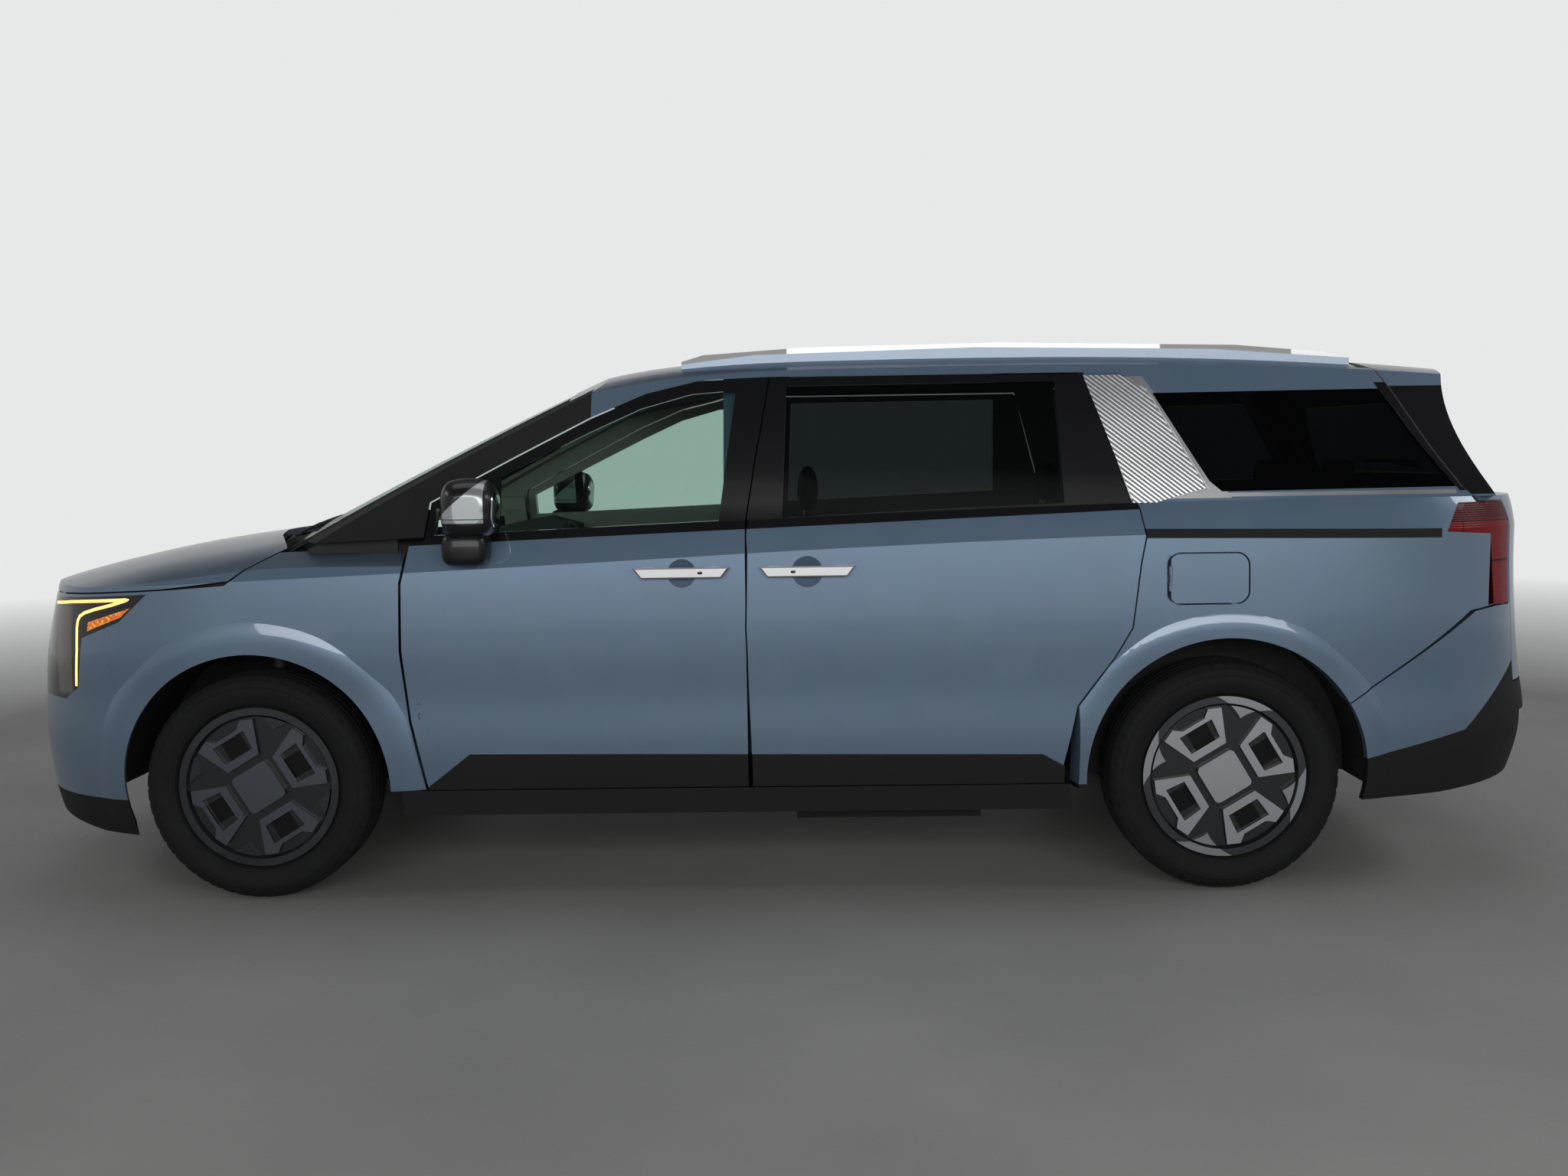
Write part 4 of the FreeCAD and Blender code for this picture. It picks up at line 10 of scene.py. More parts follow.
import bmesh
import bpy
import numpy
from mathutils import Matrix, Vector
from mathutils.bvhtree import BVHTree


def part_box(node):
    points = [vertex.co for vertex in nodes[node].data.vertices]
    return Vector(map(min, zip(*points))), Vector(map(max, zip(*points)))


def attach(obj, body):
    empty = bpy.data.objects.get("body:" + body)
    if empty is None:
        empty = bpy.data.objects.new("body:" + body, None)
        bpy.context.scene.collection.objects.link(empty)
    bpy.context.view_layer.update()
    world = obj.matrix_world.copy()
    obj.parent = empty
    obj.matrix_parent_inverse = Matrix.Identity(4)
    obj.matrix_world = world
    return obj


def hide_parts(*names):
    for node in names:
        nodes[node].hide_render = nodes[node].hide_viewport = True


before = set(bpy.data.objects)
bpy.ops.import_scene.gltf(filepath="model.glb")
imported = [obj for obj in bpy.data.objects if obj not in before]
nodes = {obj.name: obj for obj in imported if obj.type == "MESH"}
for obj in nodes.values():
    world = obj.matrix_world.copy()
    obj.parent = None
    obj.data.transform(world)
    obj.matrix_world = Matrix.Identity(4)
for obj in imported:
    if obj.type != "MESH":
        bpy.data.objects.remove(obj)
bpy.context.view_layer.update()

# %% [markdown]
# ## The camera
# The van was photographed from its left side, a little above the door handles, from
# about five and a half metres away. A camera so near shows some of the hood and of the
# roof's slope, which a far one would flatten. It is placed where its picture of the
# wheels, roof and bumpers falls on the photograph's, and it leans by less than a
# degree, as a camera held in the hand does.

# %% Camera
PICTURE_WIDTH, FOCAL_PIXELS, SENSOR_WIDTH = 2048, 1932, 36.0
CAMERA_PLACE = (0.128, -5.5975, 1.3985)
CAMERA_TURNS = ((0.9, "Z"), (90 - 5.06, "X"), (-0.84, "Z"))


def new_object(name, data):
    """An object in the scene that shows a mesh, a lamp or a camera."""
    made = bpy.data.objects.new(name, data)
    bpy.context.scene.collection.objects.link(made)
    return made


camera_data = bpy.data.cameras.new("side_camera")
camera_data.sensor_width = SENSOR_WIDTH
camera_data.lens = FOCAL_PIXELS / PICTURE_WIDTH * SENSOR_WIDTH
camera = new_object("side_camera", camera_data)
aim = Matrix.Translation(CAMERA_PLACE)
for degrees, axis in CAMERA_TURNS:
    aim = aim @ Matrix.Rotation(math.radians(degrees), 4, axis)
camera.matrix_world = aim
bpy.context.scene.camera = camera
print("The lens, in millimetres:", round(camera_data.lens, 2))

# %% [markdown]
# ## Materials as expressions
# Most finishes on a car lie side by side on one panel: a door is blue below the windows,
# black above them and grained black at the sill. Painting such a panel takes masks, and
# masks take sums and products. Wiring a Math node for each is slow to write and to read,
# so a small class wraps a socket and makes the node when two wires are added or
# multiplied. A second class holds one material and adds every other kind of node.

# %% Wires
def maths(operation, wire_first=True):
    """A method that adds a Math node, with the wire as its first or its second value."""
    def method(wire, other=0.0):
        values = (wire, other) if wire_first else (other, wire)
        return wire.finish.node("ShaderNodeMath", {"operation": operation}, dict(enumerate(values)))
    return method


class Wire:
    """An output of a node. An expression on wires adds the Math nodes that it needs."""

    def __init__(self, finish, socket):
        self.finish, self.socket = finish, socket

    def out(self, output):
        return Wire(self.finish, self.socket.node.outputs[output])

    __add__, __radd__ = maths("ADD"), maths("ADD", False)
    __sub__, __rsub__ = maths("SUBTRACT"), maths("SUBTRACT", False)
    __mul__, __rmul__ = maths("MULTIPLY"), maths("MULTIPLY", False)
    __truediv__, __rtruediv__ = maths("DIVIDE"), maths("DIVIDE", False)
    __pow__, __rpow__ = maths("POWER"), maths("POWER", False)
    __abs__, wave = maths("ABSOLUTE"), maths("SINE")
    either, lesser = maths("MAXIMUM"), maths("MINIMUM")

    def past(self, limit, blur=0.001):
        """1 where the wire is past the limit and 0 where it is short of it, over a soft edge."""
        return self.finish.node("ShaderNodeMapRange", {"clamp": True},
                                {"Value": self, "From Min": limit - blur, "From Max": limit + blur})

    def short(self, limit, blur=0.001):
        return 1.0 - self.past(limit, blur)

    def between(self, low, high, blur=0.001):
        return self.past(low, blur) * self.short(high, blur)


# %% Finishes
class Finish:
    """A material in the making, with the place and the facing of each point as wires."""

    def __init__(self, name):
        self.material = bpy.data.materials.new(name)
        self.material.use_nodes = True
        self.tree = self.material.node_tree
        self.tree.nodes.clear()
        self.place = self.node("ShaderNodeTexCoord", output="Object")
        self.x, self.y, self.z = self.split(self.place)
        self.facing_x, self.facing_y, self.facing_z = self.split(self.place.out("Normal"))

    def node(self, kind, settings=None, inputs=None, output=0):
        """Adds a node: its settings first, then the values or wires of its sockets."""
        made = self.tree.nodes.new(kind)
        for key, value in (settings or {}).items():
            if key == "stops":
                for stop, (place, colour) in zip(made.color_ramp.elements, value):
                    stop.position, stop.color = place, (*colour, 1.0)
            else:
                setattr(made, key, value)
        for key, value in (inputs or {}).items():
            if isinstance(value, Wire):
                self.tree.links.new(value.socket, made.inputs[key])
            elif isinstance(value, tuple) and made.inputs[key].type == "RGBA":
                made.inputs[key].default_value = (*value, 1.0)
            else:
                made.inputs[key].default_value = value
        return Wire(self, made.outputs[output] if made.outputs else None)

    def split(self, vector):
        """The three coordinates of a vector."""
        parts = self.node("ShaderNodeSeparateXYZ", inputs={0: vector})
        return [parts.out(axis) for axis in range(3)]

    def length(self, vector):
        return self.node("ShaderNodeVectorMath", {"operation": "LENGTH"}, {0: vector}, output="Value")

    def noise(self, scale, detail=3.0):
        return self.node("ShaderNodeTexNoise", {}, {"Vector": self.place, "Scale": scale, "Detail": detail})

    def cells(self, scale, feature="F1"):
        return self.node("ShaderNodeTexVoronoi", {"feature": feature},
                         {"Vector": self.place, "Scale": scale})

    def blend(self, mask, under, over, way="MIX"):
        return self.node("ShaderNodeMix", {"data_type": "RGBA", "blend_type": way},
                         {0: mask, 6: under, 7: over}, output=2)

    def mix(self, mask, under, over):
        return self.node("ShaderNodeMixShader", {}, {0: mask, 1: under, 2: over})

    def below(self, lines, margin=0.0):
        """1 where a point lies a margin below all lines of the side view: (height, slope, at which x)."""
        lowest, *others = [height + slope * (self.x - at) for height, slope, at in lines]
        for line in others:
            lowest = lowest.lesser(line)
        return (lowest - self.z).past(margin)

    def end(self, shader):
        self.node("ShaderNodeOutputMaterial", {}, {"Surface": shader})
        return self.material


# %% [markdown]
# A look is what one paint or plastic is like: its colour, how rough, how metallic, how
# lacquered and how grained. Looks are covered by one another through masks, and the last
# one goes into a Principled shader. No real surface is even, so faint clouds shift its
# colour and roughness, and a fine noise gives its grain a height.

# %% Looks
GRAIN_SCALE, GRAIN_HEIGHT = 900.0, 0.0006


def look(colour, roughness, metallic=0.0, coat=0.0, grain=0.0):
    return {"colour": colour, "roughness": roughness, "metallic": metallic, "coat": coat, "grain": grain}


def cover(under, mask, over):
    """The look that turns from one into another as the mask goes from 0 to 1."""
    made = {"colour": mask.finish.blend(mask, under["colour"], over["colour"])}
    for part in ("roughness", "metallic", "coat", "grain"):
        same = not isinstance(under[part], Wire) and under[part] == over[part]
        made[part] = under[part] if same else under[part] + mask * (over[part] - under[part])
    return made


def surface(finish, shown, mottle=0.06, cloud_scale=6.0, relief=0.0, specular=0.25):
    """The Principled shader of a look, clouded a little, with grain and relief."""
    cloud = finish.noise(cloud_scale, 4.0)
    fine = finish.noise(GRAIN_SCALE, 2.0)
    height = fine * shown["grain"] * GRAIN_HEIGHT + relief
    bump = finish.node("ShaderNodeBump", {}, {"Strength": 1.0, "Distance": 1.0, "Height": height})
    return finish.node("ShaderNodeBsdfPrincipled", {}, {
        "Base Color": finish.blend(mottle, shown["colour"], cloud.out("Color"), "OVERLAY"),
        "Roughness": shown["roughness"] * (0.9 + 0.2 * cloud), "Metallic": shown["metallic"], "Normal": bump,
        "Coat Weight": shown["coat"], "Coat Roughness": 0.04, "Specular IOR Level": specular})


def finished(finish, shown, **more):
    return finish.end(surface(finish, shown, **more))


def plain(name, shown, **more):
    """A material that has one look all over."""
    return finished(Finish(name), shown, **more)


def dress(names, material):
    for name in names:
        for slot in nodes[name].material_slots:
            slot.material = material
    print(material.name, "on", ", ".join(names))


def pair(*names):
    return [name + side for name in names for side in ("_left", "_right")]


INK = (0.004, 0.004, 0.005)
SLATE = look((0.104, 0.155, 0.222), 0.36, 0.45, 1.0)
GLOSS_BLACK = look(INK, 0.25, 0.0, 0.9)
GRAINED_BLACK = look((0.0055, 0.0055, 0.006), 0.68, 0.0, 0.0, 1.0)
SATIN_SILVER = look((0.56, 0.57, 0.58), 0.32, 0.9, 0.4)
PALE_TRIM = look((0.36, 0.345, 0.315), 0.78, 0.0, 0.0, 0.7)
DARK_TRIM = look((0.030, 0.031, 0.033), 0.66, 0.0, 0.0, 0.8)

# %% [markdown]
# ## Floor, background and lamps
# A pale room flatters dark paint, but a real wall behind the van would block every other
# view. So there is one wide disc of floor, and the background is the world's own colour,
# which only the camera sees at full strength: the van itself is lit by lamps, and its
# lacquer mirrors a dimmer room. The floor fades into the background far out, so that no
# edge shows. Overhead the world is darker, as a studio's ceiling is, and it gives the
# glass its depth.

# %% Floor
FLOOR_RADIUS, FLOOR_SINK = 16.0, 0.0005
FADE_MIDDLE, FADE_HALF = 9.0, 4.0
DARK_FLOOR, PALE_FLOOR = (0.21, 0.21, 0.207), (0.27, 0.27, 0.265)
shape = bmesh.new()
bmesh.ops.create_circle(shape, cap_ends=True, segments=96, radius=FLOOR_RADIUS)
floor = new_object("studio_floor", bpy.data.meshes.new("studio_floor"))
shape.to_mesh(floor.data)
shape.free()
floor.location.z = -FLOOR_SINK
ground = Finish("pale_concrete")
pores = ground.noise(60.0, 3.0)
tone = ground.node("ShaderNodeValToRGB", {"stops": [(0.3, DARK_FLOOR), (0.75, PALE_FLOOR)]},
                   {0: ground.noise(0.9, 6.0)})
slab = ground.node("ShaderNodeBsdfPrincipled", {}, {
    "Base Color": tone, "Roughness": 0.55 + 0.2 * pores,
    "Normal": ground.node("ShaderNodeBump", {}, {"Strength": 0.25, "Distance": 0.002, "Height": pores})})
faded = ground.length(ground.place).past(FADE_MIDDLE, FADE_HALF)
floor.data.materials.append(ground.end(ground.mix(faded, slab, ground.node("ShaderNodeBsdfTransparent"))))
print("The floor is", round(floor.dimensions.x, 1), "m across")

# %% [markdown]
# The world could be one flat strength, but then the lacquer would mirror a room as
# bright as the picture's background and look milky. A Light Path node tells which kind
# of ray asks: the camera sees the full strength, also through glass, mirrors get the
# dimmest one, and plain light lies between.

# %% World
BACKGROUND, CEILING = (0.80, 0.81, 0.81), (0.06, 0.062, 0.066)
world = bpy.data.worlds.new("studio")
bpy.context.scene.world = world
world.use_nodes = True
world.node_tree.nodes.clear()


class Air(Finish):
    """The world's node tree, with the same way of adding nodes as a material's."""

    def __init__(self, tree):
        self.tree = tree


sky = Air(world.node_tree)
ray = sky.node("ShaderNodeLightPath")
seen = ray.out("Is Camera Ray").either(ray.out("Is Transmission Ray"))
upward = sky.split(sky.node("ShaderNodeTexCoord", output="Generated"))[2]
room = sky.blend(upward.past(0.40, 0.10), BACKGROUND, CEILING)
shown, lit, mirrored = (sky.node("ShaderNodeBackground", {}, {"Color": room, "Strength": strength})
                        for strength in (1.0, 0.9, 0.6))
sky.node("ShaderNodeOutputWorld", {}, {
    "Surface": sky.mix(seen, sky.mix(ray.out("Is Glossy Ray"), lit, mirrored), shown)})
print("The background's colour:", BACKGROUND)

# %% [markdown]
# Soft light comes from large lamps. The widest stands behind the camera and lights the
# doors, a broad one hangs over the roof, and weaker ones fill the far side and both
# ends. They hide from the camera, so that no view shows a glowing board, and the one on
# the far side hides from the lacquer too, which would mirror it along the whole roof.

# %% Lamps
def softbox(name, place, target, width, height, watts, colour=(1.0, 1.0, 1.0), in_mirrors=True):
    lamp = bpy.data.lights.new(name, "AREA")
    lamp.shape = "RECTANGLE"
    lamp.size, lamp.size_y = width, height
    lamp.energy, lamp.color = watts, colour
    made = new_object(name, lamp)
    made.location = place
    made.rotation_euler = (Vector(target) - Vector(place)).to_track_quat("-Z", "Y").to_euler()
    made.visible_camera = False
    made.visible_glossy = in_mirrors


softbox("side_softbox", (0.4, -7.6, 2.5), (0.2, -0.9, 0.8), 9.0, 2.0, 290.0, (1.0, 0.99, 0.98))
softbox("roof_softbox", (0.2, 0.6, 6.0), (0.2, 0.0, 0.0), 7.0, 3.0, 70.0)
softbox("far_softbox", (0.0, 7.6, 3.4), (0.0, 0.9, 0.8), 9.0, 1.6, 130.0, in_mirrors=False)
softbox("nose_softbox", (-7.4, -1.0, 4.8), (-2.4, 0.0, 0.8), 4.0, 1.6, 70.0)
softbox("tail_softbox", (7.4, -1.0, 4.8), (2.4, 0.0, 0.8), 4.0, 1.6, 110.0)
bpy.context.scene.view_settings.view_transform = "Standard"
print("Lamps:", sorted(lamp.name for lamp in bpy.data.lights))

# %% [markdown]
# ## Body paint and the black parts
# A metallic paint is three things in one: a blue-grey base, fine metal flakes that make
# it lighter where it faces the light, and a clear lacquer that mirrors the room. One
# Principled shader gives all three. The black window frames, the grained sill cladding
# and the pale lining indoors belong to the same panels, so they are masks in the same
# material, drawn by height, by length and by which way a face looks.

# %% Masks that several panels share
BELT_HEIGHT, BELT_SLOPE, LINING_HEIGHT = 1.1768, 0.0364, 1.120


def indoors(finish):
    """1 on the faces of a side panel that look towards the middle of the van."""
    return (finish.facing_y * finish.y).short(-0.25, 0.08)


def above_belt(finish, height=BELT_HEIGHT):
    """1 above a line that rises towards the tail, such as the one where the window frames begin."""
    return (finish.z - BELT_SLOPE * finish.x).past(height)


def lining(finish):
    """The pale upper and dark lower lining of the cabin."""
    return cover(DARK_TRIM, above_belt(finish, LINING_HEIGHT), PALE_TRIM)


# %% Doors
SILL_LINES = ((0.463, -0.01159, 0.0), (0.352, 0.777, -1.105), (0.453, -0.568, 0.864))
door = Finish("door_paint")
skin = cover(cover(SLATE, above_belt(door), GLOSS_BLACK), door.below(SILL_LINES), GRAINED_BLACK)
dress(pair("front_door", "sliding_door"), finished(door, cover(skin, indoors(door), lining(door))))

# %% [markdown]
# The body side carries the most: the black windscreen pillar with the grained wedge below
# it, the gloss black behind the rear side glass, the satin silver beside the silver post,
# a thin satin silver line under that glass that is a painted highlight along the shoulder,
# the rubber stripe of the sliding door's rail, and the sill.

# %% Body sides
PILLAR_END, FENDER_END = -0.56, -1.00
GLASS_LEAN, GLASS_FRONT, GLASS_HEIGHTS = 0.6696, (1.975, 1.60), (1.262, 1.612)
TRIM_LEAN, TRIM_BACK, TRIM_FRONT, TRIM_HEIGHTS = 0.6656, (1.246, 1.591), 1.10, (1.250, 1.640)
STRIPE_SLOPE, STRIPE_AT, STRIPE_ENDS, STRIPE_HEIGHTS = 0.013, 1.18, (1.182, 2.112), (1.131, 1.160)
HIGHLIGHT_LINE_ENDS, HIGHLIGHT_LINE_HEIGHTS = (1.40, 2.19), (1.2535, 1.2655)
SILL_TOP, WEDGE_LOW = 0.352, 1.070

flank = Finish("flank_paint")
pillar = flank.x.short(PILLAR_END) * above_belt(flank)
glass_front = flank.x + (flank.z - GLASS_FRONT[1]) * GLASS_LEAN
behind_glass = glass_front.past(GLASS_FRONT[0]) * flank.z.between(*GLASS_HEIGHTS)
skin = cover(SLATE, pillar.either(behind_glass), GLOSS_BLACK)
stripe = flank.z + STRIPE_SLOPE * (flank.x - STRIPE_AT)
stripe = stripe.between(*STRIPE_HEIGHTS) * flank.x.between(*STRIPE_ENDS)
wedge = (flank.x.short(FENDER_END) * flank.z.between(WEDGE_LOW, BELT_HEIGHT)).either(
    pillar * flank.facing_z.past(0.3, 0.05))
skin = cover(skin, flank.z.short(SILL_TOP).either(stripe).either(wedge), GRAINED_BLACK)
trim_back = flank.x + (flank.z - TRIM_BACK[1]) * TRIM_LEAN
beside_trim = trim_back.short(TRIM_BACK[0]) * flank.x.past(TRIM_FRONT) * flank.z.between(*TRIM_HEIGHTS)
# Painted highlight: a thin line of satin silver under the rear side glass, where the shoulder catches the
# light.
highlight_line = flank.z.between(*HIGHLIGHT_LINE_HEIGHTS, 0.0006) * flank.x.between(*HIGHLIGHT_LINE_ENDS)
skin = cover(skin, beside_trim.either(highlight_line), SATIN_SILVER)
dress(pair("body_side"), finished(flank, cover(skin, indoors(flank), lining(flank))))

# %% [markdown]
# Fenders, lids and roof are blue outside only. Underneath they have a thin coat of
# paint or a lining, and a mask finds those faces by the way they look.

# %% Fenders, lids and roof
FENDER_POST, GATE_GLASS_HEIGHTS = -1.30, (1.250, 1.600)
wing = Finish("fender_paint")
skin = cover(SLATE, above_belt(wing) * wing.x.past(FENDER_POST), GLOSS_BLACK)
dress(pair("front_fender"), finished(wing, cover(skin, indoors(wing), GRAINED_BLACK)))

lid = Finish("hood_and_flap_paint")
bare_paint = look((0.07, 0.10, 0.125), 0.5, 0.2)
dress(["hood", "fuel_flap"], finished(lid, cover(SLATE, lid.facing_z.short(-0.3, 0.05), bare_paint)))

top = Finish("roof_paint")
dress(["roof_panel"], finished(top, cover(SLATE, top.facing_z.short(-0.35, 0.05), PALE_TRIM)))

gate = Finish("tailgate_paint")
round_glass = gate.z.between(*GATE_GLASS_HEIGHTS) * gate.facing_z.short(0.75, 0.05)
skin = cover(SLATE, round_glass, GLOSS_BLACK)
dress(["tailgate"], finished(gate, cover(skin, gate.facing_x.short(-0.35, 0.05), lining(gate))))

# %% [markdown]
# Both bumpers are painted above and grained black below, where stones hit them, with a
# silver skid plate in the middle. The black of the rear one climbs towards its corner
# along two straight lines.

# %% Bumpers
CHIN_TOP, FRONT_SKID_HALF, FRONT_SKID_TOP = 0.326, 0.50, 0.42
STERN_LINES = (0.429, 0.252, 1.90), (0.507, 1.019, 2.21)
REAR_SKID_FRONT, REAR_SKID_HEIGHTS = 2.452, (0.36, 0.54)

nose = Finish("front_bumper_paint")
skid = abs(nose.y).short(FRONT_SKID_HALF, 0.004) * nose.z.short(FRONT_SKID_TOP)
skid = skid * nose.facing_x.short(-0.2, 0.1)
skin = cover(SLATE, nose.z.short(CHIN_TOP), GRAINED_BLACK)
dress(["front_bumper"], finished(nose, cover(skin, skid, SATIN_SILVER)))

stern = Finish("rear_bumper_paint")
lower = stern.below(STERN_LINES[:1]).either(stern.below(STERN_LINES[1:]))
skid = stern.x.past(REAR_SKID_FRONT) * stern.z.between(*REAR_SKID_HEIGHTS)
skin = cover(SLATE, lower, GRAINED_BLACK)
dress(["rear_bumper"], finished(stern, cover(skin, skid, SATIN_SILVER)))

# %% [markdown]
# ## Glass
# Window glass is two thin faces, and each one tints the light a little. A Transparent
# shader does that without noise, and a polished metallic one mirrors the room, mixed by
# how steeply a face is seen: head on a pane mirrors about 4 percent, and at a flat
# angle nearly all. The front panes are pale green, the sliding doors' are dark and the
# rear ones darker still. Where glass is glued to the body, a black edge hides the glue.

# %% Window glass
def glass(finish, tint, black_edge=None, shine=0.9):
    flat = finish.node("ShaderNodeLayerWeight", {}, {"Blend": 0.5}, output="Facing")
    clear = finish.node("ShaderNodeBsdfTransparent", {}, {"Color": tint})
    mirror = finish.node("ShaderNodeBsdfPrincipled", {}, {
        "Base Color": (1.0, 1.0, 1.0), "Metallic": 1.0, "Roughness": 0.02})
    pane = finish.mix(0.035 + shine * flat ** 5.0, clear, mirror)
    if black_edge:
        pane = finish.mix(black_edge, pane, surface(finish, GRAINED_BLACK, specular=0.08))
    return finish.end(pane)


SCREEN_FOOT, SCREEN_HALF, SCREEN_TAPER, SCREEN_AT = 1.150, 0.70, 0.12, -1.5
DIVIDER_ENDS = (-0.880, -0.846)
screen = Finish("windscreen_glass")
beside = (abs(screen.y) - SCREEN_HALF + SCREEN_TAPER * (screen.x - SCREEN_AT)).past(0.0)
edge = screen.z.short(SCREEN_FOOT, 0.004).either(beside)
dress(["windscreen"], glass(screen, (0.80, 0.86, 0.83), edge, 0.4))
pane = Finish("front_door_glass")
dress(pair("front_window"), glass(pane, (0.775, 0.857, 0.825), pane.x.between(*DIVIDER_ENDS)))
dress(["sliding_windows"], glass(Finish("sliding_door_glass"), (0.33, 0.365, 0.36)))
dress(["quarter_windows", "tailgate_window"], glass(Finish("privacy_glass"), (0.20, 0.22, 0.23)))

# %% [markdown]
# ## Bright trim
# The broad post behind the sliding door is brushed silver with fine slanting ribs, and
# the roof rails change from black to silver and back along their length. Both are satin
# metal: rough enough to blur a lamp into a glow. The ribs are a wave in the height that
# feeds the Bump node.

# %% Trims, rails and handles
RIB_RATE, RIB_HEIGHT = 420.0, 0.0004
blade = Finish("ribbed_silver")
ribs = ((blade.x * 0.8 + blade.z) * RIB_RATE).wave() * RIB_HEIGHT
dress(["pillar_trims"], finished(blade, look((0.50, 0.51, 0.52), 0.34, 0.85, 0.5), relief=ribs))

CREST_LINES = ((1.7251, 0.1137, -0.25), (1.7500, 0.0200, 0.0), (1.7791, -0.0220, 0.0),
               (1.8642, -0.0800, 0.0))
RAIL_HEIGHT, BRIGHT_MIDDLE, BRIGHT_TAIL = 0.0135, (0.07, 1.30), 1.73
rail = Finish("rail_black_and_silver")
bright = rail.x.between(*BRIGHT_MIDDLE, 0.003).either(rail.x.past(BRIGHT_TAIL, 0.003))
skin = cover(GLOSS_BLACK, bright, look((0.42, 0.43, 0.44), 0.36, 0.8, 0.3))
dress(["roof_rails"], finished(rail, cover(skin, rail.below(CREST_LINES, RAIL_HEIGHT), SLATE)))

dress(pair("door_handle") + ["sliding_door_handles"], plain("satin_handles", SATIN_SILVER))

# %% [markdown]
# The grille's lattice is dark chrome where it faces forward and black inside. The
# mirror shell is black with a silver wedge, whose upper edge climbs towards the back,
# and a thin seam runs round it.

# %% Grille and mirrors
lattice = Finish("dark_chrome_lattice")
dark_chrome = look((0.30, 0.31, 0.32), 0.25, 0.95, 0.3)
dress(["grille"], finished(lattice, cover(GLOSS_BLACK, lattice.facing_x.short(-0.6, 0.1), dark_chrome)))

CAP_EDGE, CAP_LOW, CAP_BACK, SEAM_HEIGHTS = (1.2591, 0.83, -0.96), 1.2110, -0.854, (1.2215, 1.2240)
shell = Finish("mirror_two_tone")
cap = shell.below([CAP_EDGE]) * shell.z.past(CAP_LOW) * shell.x.short(CAP_BACK)
cap = cap * shell.facing_x.short(0.72, 0.05)
skin = cover(look(INK, 0.45, 0.0, 0.35), cap, look((0.30, 0.32, 0.34), 0.30, 0.5, 0.8))
dress(pair("mirror"), finished(shell, cover(skin, shell.z.between(*SEAM_HEIGHTS), GRAINED_BLACK)))

# %% [markdown]
# ## Lamps of the van
# The headlamp is a smoked housing: nearly black, with a paler reflector behind its
# front edge. Its light guides are pieces of their own, further down. The tail lamp is
# red to the rim with darker steps inside, which bands across its height imitate.

# %% Lamp housings
REFLECTOR_ENDS, REFLECTOR_HEIGHTS, FIN_RATE = (-2.335, -2.262), (0.664, 0.950), 700.0
WARM_FROM, WARM_RATE = 0.66, 3.4
smoked = Finish("smoked_headlamp")
reflector = smoked.x.between(*REFLECTOR_ENDS, 0.006) * smoked.z.between(*REFLECTOR_HEIGHTS, 0.01)
fins = ((smoked.x + abs(smoked.y) * 0.5) * FIN_RATE).wave()
warmth = smoked.blend((smoked.z - WARM_FROM) * WARM_RATE, (0.13, 0.12, 0.11), (0.085, 0.055, 0.045))
skin = cover(look((0.003, 0.003, 0.004), 0.12, 0.0, 0.6), reflector * (0.8 + 0.2 * fins),
             look(warmth, 0.22, 0.2, 0.6))
dress(["headlamps"], finished(smoked, skin, mottle=0.02))

LOWER_STEP, UPPER_STEP, FRONT_STEP, DEEP_RED_FROM = (1.035, 1.043), (1.165, 1.170), (2.185, 2.189), 1.172
RIDGE_RATE, RIDGE_HEIGHT = 900.0, 0.00015
red = Finish("red_tail_lamp")
steps = red.z.between(*LOWER_STEP).either(red.z.between(*UPPER_STEP)).either(red.x.between(*FRONT_STEP))
skin = cover(look((0.130, 0.0035, 0.006), 0.22, 0.0, 0.12), red.z.past(DEEP_RED_FROM, 0.004),
             look((0.055, 0.0015, 0.003), 0.25, 0.0, 0.12))
skin = cover(skin, steps, look((0.02, 0.001, 0.001), 0.3, 0.0, 0.1))
ridges = (red.z * RIDGE_RATE).wave() * RIDGE_HEIGHT
dress(["tail_lamps"], finished(red, skin, mottle=0.02, relief=ridges, specular=0.10))

# %% [markdown]
# ## Wheels, brakes and running gear
# The wheel faces are cast, painted anthracite and then turned on a lathe, which leaves
# bare silver only on the faces that stand highest. The same rule makes the mask: a face
# is silver where it looks straight out and lies in the outer plane. Between the frames
# four plates are silver too. The openings between the frames are closed in the CAD
# wheel, so their floors are painted black, as painted shade in place of holes. The front
# wheels stand in the shade of their arches, and that shade is painted into their colours,
# which are darker. The brake disc is plain turned steel.

# %% Alloy wheels
POCKET_FROM, POCKET_TO, POCKET_HALF = 0.112, 0.178, 0.036
PLATE_FROM, PLATE_GROWTH, LIP_FROM = 0.192, 0.12, 0.2275
OUTER_PLANE, DISC_PLANES = 0.9385, (0.78, 0.86)
COS_30, SIN_30 = 0.866, 0.5


